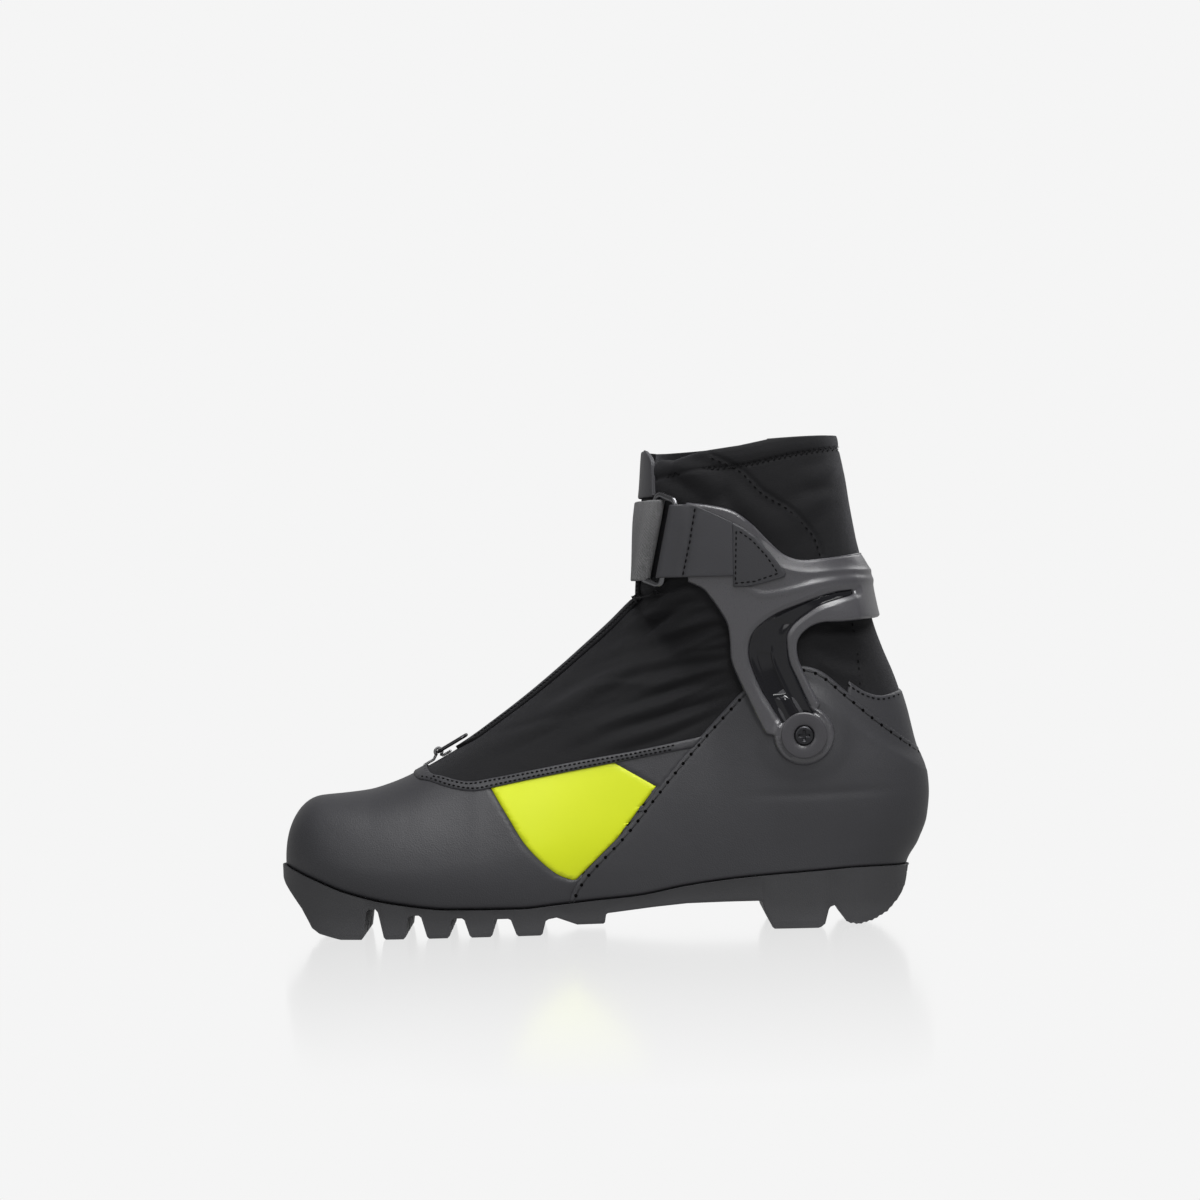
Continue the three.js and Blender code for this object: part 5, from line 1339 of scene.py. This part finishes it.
tab_levels = np.concatenate([STRAP_LOW + 1 + np.array([0, 0.2, 0.5]),
                             np.linspace(STRAP_LOW + 2, STRAP_TOP - 4, 26),
                             STRAP_TOP - 2.5 - np.array([0.6, 0.25, 0])])
tab = strip("strap_tab", leather, tab_levels, tab_path, 1.2, 120)
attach(tab, "cuff")
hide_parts("strap_tab")
PATCH = [(60.6, 188.2), (60.6, 158.6), (66, 158.4), (75, 160.2), (83.4, 162.6), (84.2, 164), (83.4, 165.6),
         (77, 174.2), (70.8, 181.4), (65, 185.8)]
patch = skin_piece("strap_patch", leather,
                   lambda x, z, s: np.where(s < 0, outline_distance(PATCH, x, z), -20.0),
                   CUFF_OUT + GAP + 1.2, CUFF_OUT + GAP, 0.6, rows=(0.6, 0.95))
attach(patch, "cuff")
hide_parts("strap_patch")
OVER = CUFF_OUT + GAP + 1.25
stitch_row("patch_stitches", np.array([(62.4, 184.6), (61.6, 160.4), (70, 161), (80.6, 164.4), (75.6, 172.4),
                                       (69.6, 179.3), (62.4, 184.9)]), 2.6, 1.8, 0.38, OVER - 0.1,
           sides=(-1,), body="cuff")
stitch_row("tab_stitches", np.array([(45.6, 195.4), (43.0, 180), (39.6, 164.0)]),
           2.9, 2.0, 0.42, OVER + 1.15, sides=(-1,), body="cuff")


def bent_wire(name, finish, centre, u, v, half_u, half_v, corner, radius, bend=10, sides=16):
    """Round wire bent to a rectangle with rounded corners in the plane of u and v."""
    normal = np.cross(u, v)
    quarters = np.repeat(np.arange(4), bend + 1)
    angle = (quarters + np.tile(np.linspace(0, 1, bend + 1), 4)) * np.pi / 2
    su = np.array([1, -1, -1, 1])[quarters]
    sv = np.array([1, 1, -1, -1])[quarters]
    out = np.cos(angle)[:, None] * u + np.sin(angle)[:, None] * v
    line = centre + np.outer(su * (half_u - corner), u) + np.outer(sv * (half_v - corner), v) + out * corner
    turn = np.linspace(0, 2 * np.pi, sides, endpoint=False)
    swing = np.cos(turn)[None, :, None] * out[:, None] + np.sin(turn)[None, :, None] * normal
    points = line[:, None] + radius * swing
    cell = np.arange(len(line) * sides).reshape(len(line), sides)
    nxt, after = np.roll(cell, -1, 0), np.roll(cell, -1, 1)
    faces = np.stack([cell, nxt, np.roll(nxt, -1, 1), after], -1).reshape(-1, 4)[:, ::-1]
    return add_mesh(name, points, faces, finish)


def bar_point(edge, z):
    """Centre of the ring's bar beside the skin."""
    return on_side(np.array([edge(z)]), np.array([z]), -1, np.array([RING_OUT]))[0][0]


MIDDLE_Z = (STRAP_TOP + STRAP_LOW) / 2
low_front, top_front = bar_point(strap_edge, STRAP_LOW + 2.5), bar_point(strap_edge, STRAP_TOP - 2.5)
low_back, top_back = bar_point(tab_edge, STRAP_LOW + 2.5), bar_point(tab_edge, STRAP_TOP - 2.5)
ring_centre = (low_front + top_front + low_back + top_back) / 4
ring_v = (top_front - low_front) / np.linalg.norm(top_front - low_front)
ring_across = bar_point(tab_edge, MIDDLE_Z) - bar_point(strap_edge, MIDDLE_Z)
ring_u = ring_across - ring_v * (ring_across @ ring_v)
ring_half = np.linalg.norm(ring_u) / 2
ring_u /= 2 * ring_half
ring_steel = steel_finish("ring steel", (0.20, 0.20, 0.21), 0.24)
ring = bent_wire("strap_ring", ring_steel, ring_centre, ring_u, ring_v, ring_half,
                 STRAP_WIDTH / 2 + WIRE + 0.6, 3.0, WIRE)
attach(ring, "ring")
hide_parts("strap_ring")

# ---------------------------------------------------------------------------------------------
# Tongue top: a soft leather-faced tab that stands in front of the collar, piped along its edge.
# ---------------------------------------------------------------------------------------------
TONGUE_LOW, TONGUE_TOP = 200.6, 222.5
tongue_levels = np.concatenate([[TONGUE_LOW, TONGUE_LOW + 0.3],
                                np.linspace(TONGUE_LOW + 1, TONGUE_TOP - 1, 24),
                                [TONGUE_TOP - 0.3, TONGUE_TOP]])


def tongue_path(z):
    """Round the front from one side to the other, narrowing to the rounded top."""
    up = np.clip((z - TONGUE_TOP + 8) / 8, 0, 1)
    reach = shaft_run(26.5, z, 1) * (1 - 0.42 * up ** 2.5)
    s = np.linspace(-reach, reach, 60)
    return np.stack([s, np.full(60, GAP + 0.9)], 1)


tongue = strip("tongue_tab", leather, tongue_levels, tongue_path, 1.7, 80)
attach(tongue, "cuff")
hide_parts("tongue_tab")

piping_z = np.linspace(TONGUE_LOW + 0.6, TONGUE_TOP - 0.3, 60)
piping_s = np.array([tongue_path(z)[-1, 0] for z in piping_z])
for name, side_sign in (("medial", -1), ("lateral", 1)):
    line = around_shaft(side_sign * piping_s[:, None], np.full((60, 1), GAP + 1.7), piping_z)[:, 0]
    along = np.gradient(line, axis=0)
    along /= np.linalg.norm(along, axis=1, keepdims=True)
    out = np.cross(along, np.array([1.0, 0, 0]))
    out /= np.linalg.norm(out, axis=1, keepdims=True)
    turn = np.linspace(0, 2 * np.pi, 12, endpoint=False)
    tube = line[:, None] + 0.62 * (np.cos(turn)[None, :, None] * out[:, None]
                                   + np.sin(turn)[None, :, None] * np.cross(along, out)[:, None])
    cell = np.arange(60 * 12).reshape(60, 12)
    after = np.roll(cell, -1, 1)
    tube_faces = np.stack([cell[:-1], after[:-1], after[1:], cell[1:]], -1).reshape(-1, 4)
    ends = np.array([c[[a, b, 11 - b, 11 - a]] for c in (cell[0][::-1], cell[-1]) for a, b in
                     ((0, 1), (1, 2), (2, 3), (3, 4), (4, 5))])
    piping = add_mesh(f"tongue_piping_{name}", tube, np.vstack([tube_faces, ends]), leather)
    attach(piping, "cuff")

# ---------------------------------------------------------------------------------------------
# Gaiter ring: a small black wire ring at the foot of the cover, in a loop of webbing.
# ---------------------------------------------------------------------------------------------
RING_X, GAITER_WIRE = -78.5, 0.8
pitch_angle = math.atan2(float(ridge(RING_X + 12) - ridge(RING_X - 2)), 14)
gaiter_axis = np.array([RING_X, float(middle(RING_X)), float(ridge(RING_X)) + 3.4])
gaiter_u = np.array([math.cos(pitch_angle), 0, math.sin(pitch_angle)])
gaiter = bent_wire("gaiter_ring", dark_steel, gaiter_axis + gaiter_u * 7.5, gaiter_u,
                   np.array([0.0, 1, 0]), 7.5, 7.0, 3.0, GAITER_WIRE)
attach(gaiter, "gaiter")
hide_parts("gaiter_ring")


def keeper_line():
    """Side-view path of the webbing: along the vamp, up round the wire and back to the vamp."""
    radius = GAITER_WIRE + GAP + 0.5
    turn = np.radians(np.linspace(-50, 230, 26))
    round_wire = np.stack([gaiter_axis[0] + radius * np.cos(turn),
                           gaiter_axis[2] + radius * np.sin(turn)], 1)
    behind = np.linspace(RING_X + 5.5, RING_X + 2.2, 6)
    before = np.linspace(RING_X - 2.4, RING_X - 6.5, 8)
    return np.vstack([np.stack([behind, ridge(behind) + 0.4], 1), round_wire,
                      np.stack([before, ridge(before) + 0.9], 1)])


keeper_outline = thick_path(keeper_line(), 1.2)
keeper_y = gaiter_axis[1] + np.array([-3.5, -3.3, -1.5, 1.5, 3.3, 3.5])
keeper_points = np.array([[(x, y, z) for x, z in keeper_outline] for y in keeper_y])
count = len(keeper_outline)
cell = np.arange(len(keeper_y) * count).reshape(len(keeper_y), count)
after = np.roll(cell, -1, 1)
keeper_faces = np.stack([cell[:-1], after[:-1], after[1:], cell[1:]], -1).reshape(-1, 4)
length = len(keeper_line())
k = np.arange(length - 1)
mate = 2 * length + 4 - k
near_cap = np.stack([cell[0, k + 1], cell[0, k], cell[0, mate], cell[0, mate - 1]], -1)
far_cap = np.stack([cell[-1, k], cell[-1, k + 1], cell[-1, mate - 1], cell[-1, mate]], -1)
keeper = add_mesh("gaiter_keeper", keeper_points,
                  np.vstack([keeper_faces, near_cap, far_cap])[:, ::-1],
                  tape, np.tile(keeper_outline, (len(keeper_y), 1)))
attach(keeper, "lower")
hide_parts("gaiter_keeper")

# ---------------------------------------------------------------------------------------------
# Inside: the foot lining of knitted fabric, the fabric-topped footbed, and the hidden boards.
# ---------------------------------------------------------------------------------------------
lining_knit = knit_finish("grey lining knit", (0.020, 0.020, 0.022), 1.3)
LINING_PART = [(-190, -10), (190, -10), (190, 86), (140, 86), (126, 97), (112, 108), (90, 121), (78, 119),
               (55, 100), *(BAND_TOP[::-1] - np.array([0, 1.5])), (-96, 90), (-190, 90)]
lining = skin_piece("lower_lining", lining_knit, lambda x, z, s: outline_distance(LINING_PART, x, z),
                    -2.4, -4.7, 1.0, size=(360, 160))
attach(lining, "lower")
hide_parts("lower_lining")

bed_low, bed_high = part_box("footbed")
bed_x = np.linspace(bed_low[0] / MM - SHIFT[0] + 0.6, bed_high[0] / MM - SHIFT[0] - 0.6, 240)[:, None]
bed_share = np.linspace(-1, 1, 61)[None, :]
bed_half = np.maximum(half_width(bed_x, feather(bed_x) + 6) - 5.4, 3.0)
round_off = np.clip(np.minimum(bed_x - bed_x[0], bed_x[-1] - bed_x) / 22, 0, 1)
bed_half = bed_half * np.sqrt(1 - (1 - round_off) ** 2 * 0.9)
bed_y = middle(bed_x) + bed_half * bed_share
cup = 1.6 * np.abs(bed_share) ** 5 * np.clip((bed_x + 20) / 60, 0, 1)
bed_base = feather(bed_x) + 2.4 + 0 * bed_share
bed_top = bed_base + 3.9 + cup - 1.2 * np.clip((np.abs(bed_share) - 0.96) / 0.04, 0, 1) ** 2
bed_points = np.stack([np.broadcast_to(bed_x, bed_y.shape), bed_y, bed_top], -1)
bed_under = np.stack([np.broadcast_to(bed_x, bed_y.shape), bed_y, bed_base], -1)
rows, columns = bed_y.shape
cell = np.arange(rows * columns).reshape(rows, columns)
bed_faces = np.stack([cell[:-1, :-1], cell[1:, :-1], cell[1:, 1:], cell[:-1, 1:]], -1).reshape(-1, 4)
rim = np.concatenate([cell[0, :-1], cell[:-1, -1], cell[-1, :0:-1], cell[:0:-1, 0]])
after = np.roll(rim, -1)
rim_faces = np.stack([rim, after, after + cell.size, rim + cell.size], -1)
bed_uv = np.stack([bed_points[..., 0].ravel(), bed_y.ravel()], 1)
footbed = add_mesh("footbed", np.vstack([bed_points.reshape(-1, 3), bed_under.reshape(-1, 3)]),
                   np.vstack([bed_faces, bed_faces[:, ::-1] + cell.size, rim_faces]), lining_knit,
                   np.vstack([bed_uv, bed_uv]))
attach(footbed, "lower")
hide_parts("footbed")

board = leather_finish("pressed fibre board", (0.12, 0.10, 0.07), 0.75, 0.6)
for node, finish in (("binding_bar", steel), ("shank", dark_steel), ("lasting_board", board),
                     ("toe_puff", board),
                     ("heel_counter", board)):
    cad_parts[node].data.materials.clear()
    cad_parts[node].data.materials.append(finish)

# ---------------------------------------------------------------------------------------------
# Closing strip: a doubled band of the knit along the middle of the instep, stitched on both sides.
# ---------------------------------------------------------------------------------------------
def instep_place(t, across, depth):
    """A point over the instep: t as on the skin, across by distance over the surface from its middle."""
    theta = np.linspace(0, 0.9, 120)
    points = []
    for row_t, row_across, row_depth in zip(t, across, depth):
        line = skin(theta, np.full(120, row_t))
        run = np.concatenate([[0], np.cumsum(np.linalg.norm(np.diff(line, axis=0), axis=1))])
        angle = np.interp(np.abs(row_across), run, theta) * np.sign(row_across)
        here = skin(angle, np.full(len(angle), row_t))
        points.append(here + skin_normal(angle, np.full(len(angle), row_t)) * row_depth[:, None])
    return np.array(points)


reach = np.concatenate([[0], np.cumsum(np.hypot(np.diff(front_x), np.diff(front_z)))])
front_length = reach[-1] + RIM_FRONT - CREASE
strip_run = np.linspace(float(np.interp(-70, front_x, reach)), reach[-1] + 13, 170)
strip_t = strip_run / front_length
STRIP_HALF = 9.5
strip_w = np.sort(np.concatenate([np.linspace(-STRIP_HALF, STRIP_HALF, 37), [-9.3, 9.3, -9.1, 9.1]]))
strip_across = np.broadcast_to(strip_w[None, :], (170, len(strip_w))) \
    * (0.35 + 0.65 * ease((strip_run - strip_run[0] + 2) / 12))[:, None]
edge_share = np.clip((STRIP_HALF - np.abs(strip_w)) / 0.8, 0, 1)
seam = -0.35 * np.exp(-((np.abs(strip_w) - 7.6) / 0.7) ** 2) - 0.45 * np.exp(-(strip_w / 0.8) ** 2)
high = 0.3 + 0.75 * np.sqrt(1 - (1 - edge_share) ** 2) + seam
strip_top = instep_place(strip_t, strip_across, np.broadcast_to(high, strip_across.shape))
strip_under = instep_place(strip_t, strip_across, np.full(strip_across.shape, -0.6))
cell = np.arange(strip_top.shape[0] * strip_top.shape[1]).reshape(strip_top.shape[:2])
strip_faces = np.stack([cell[:-1, :-1], cell[:-1, 1:], cell[1:, 1:], cell[1:, :-1]], -1).reshape(-1, 4)
rim = np.concatenate([cell[:-1, 0], cell[-1, :-1], cell[:0:-1, -1], cell[0, :0:-1]])
after = np.roll(rim, -1)
rim_faces = np.stack([rim, after, after + cell.size, rim + cell.size], -1)
strip_uv = np.stack([np.broadcast_to(strip_run[:, None], strip_across.shape).ravel(),
                     strip_across.ravel()], 1)
closing = add_mesh("cover_strip", np.vstack([strip_top.reshape(-1, 3), strip_under.reshape(-1, 3)]),
                   np.vstack([strip_faces, strip_faces[:, ::-1] + cell.size, rim_faces])[:, ::-1], knit,
                   np.vstack([strip_uv, strip_uv]))
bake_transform(closing)
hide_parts("cover_strip")
for name, across in (("outer", 8.4), ("inner", 6.9)):
    stitch_t = np.arange(strip_run[0] + 10, strip_run[-1] - 4, 1.9) / front_length
    near_far = np.array([-across, across])
    both = np.broadcast_to(near_far, (len(stitch_t), 2))
    here = instep_place(stitch_t, both, np.full(both.shape, 1.0))
    ahead = instep_place(stitch_t + 0.002, both, np.full(both.shape, 1.0)) - here
    above = instep_place(stitch_t, both, np.full(both.shape, 2.0)) - here
    row = beads(f"strip_stitches_{name}", thread_mat, here.reshape(-1, 3),
                (ahead / np.linalg.norm(ahead, axis=-1, keepdims=True)).reshape(-1, 3),
                above.reshape(-1, 3), 1.5, 0.32)
    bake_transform(row)
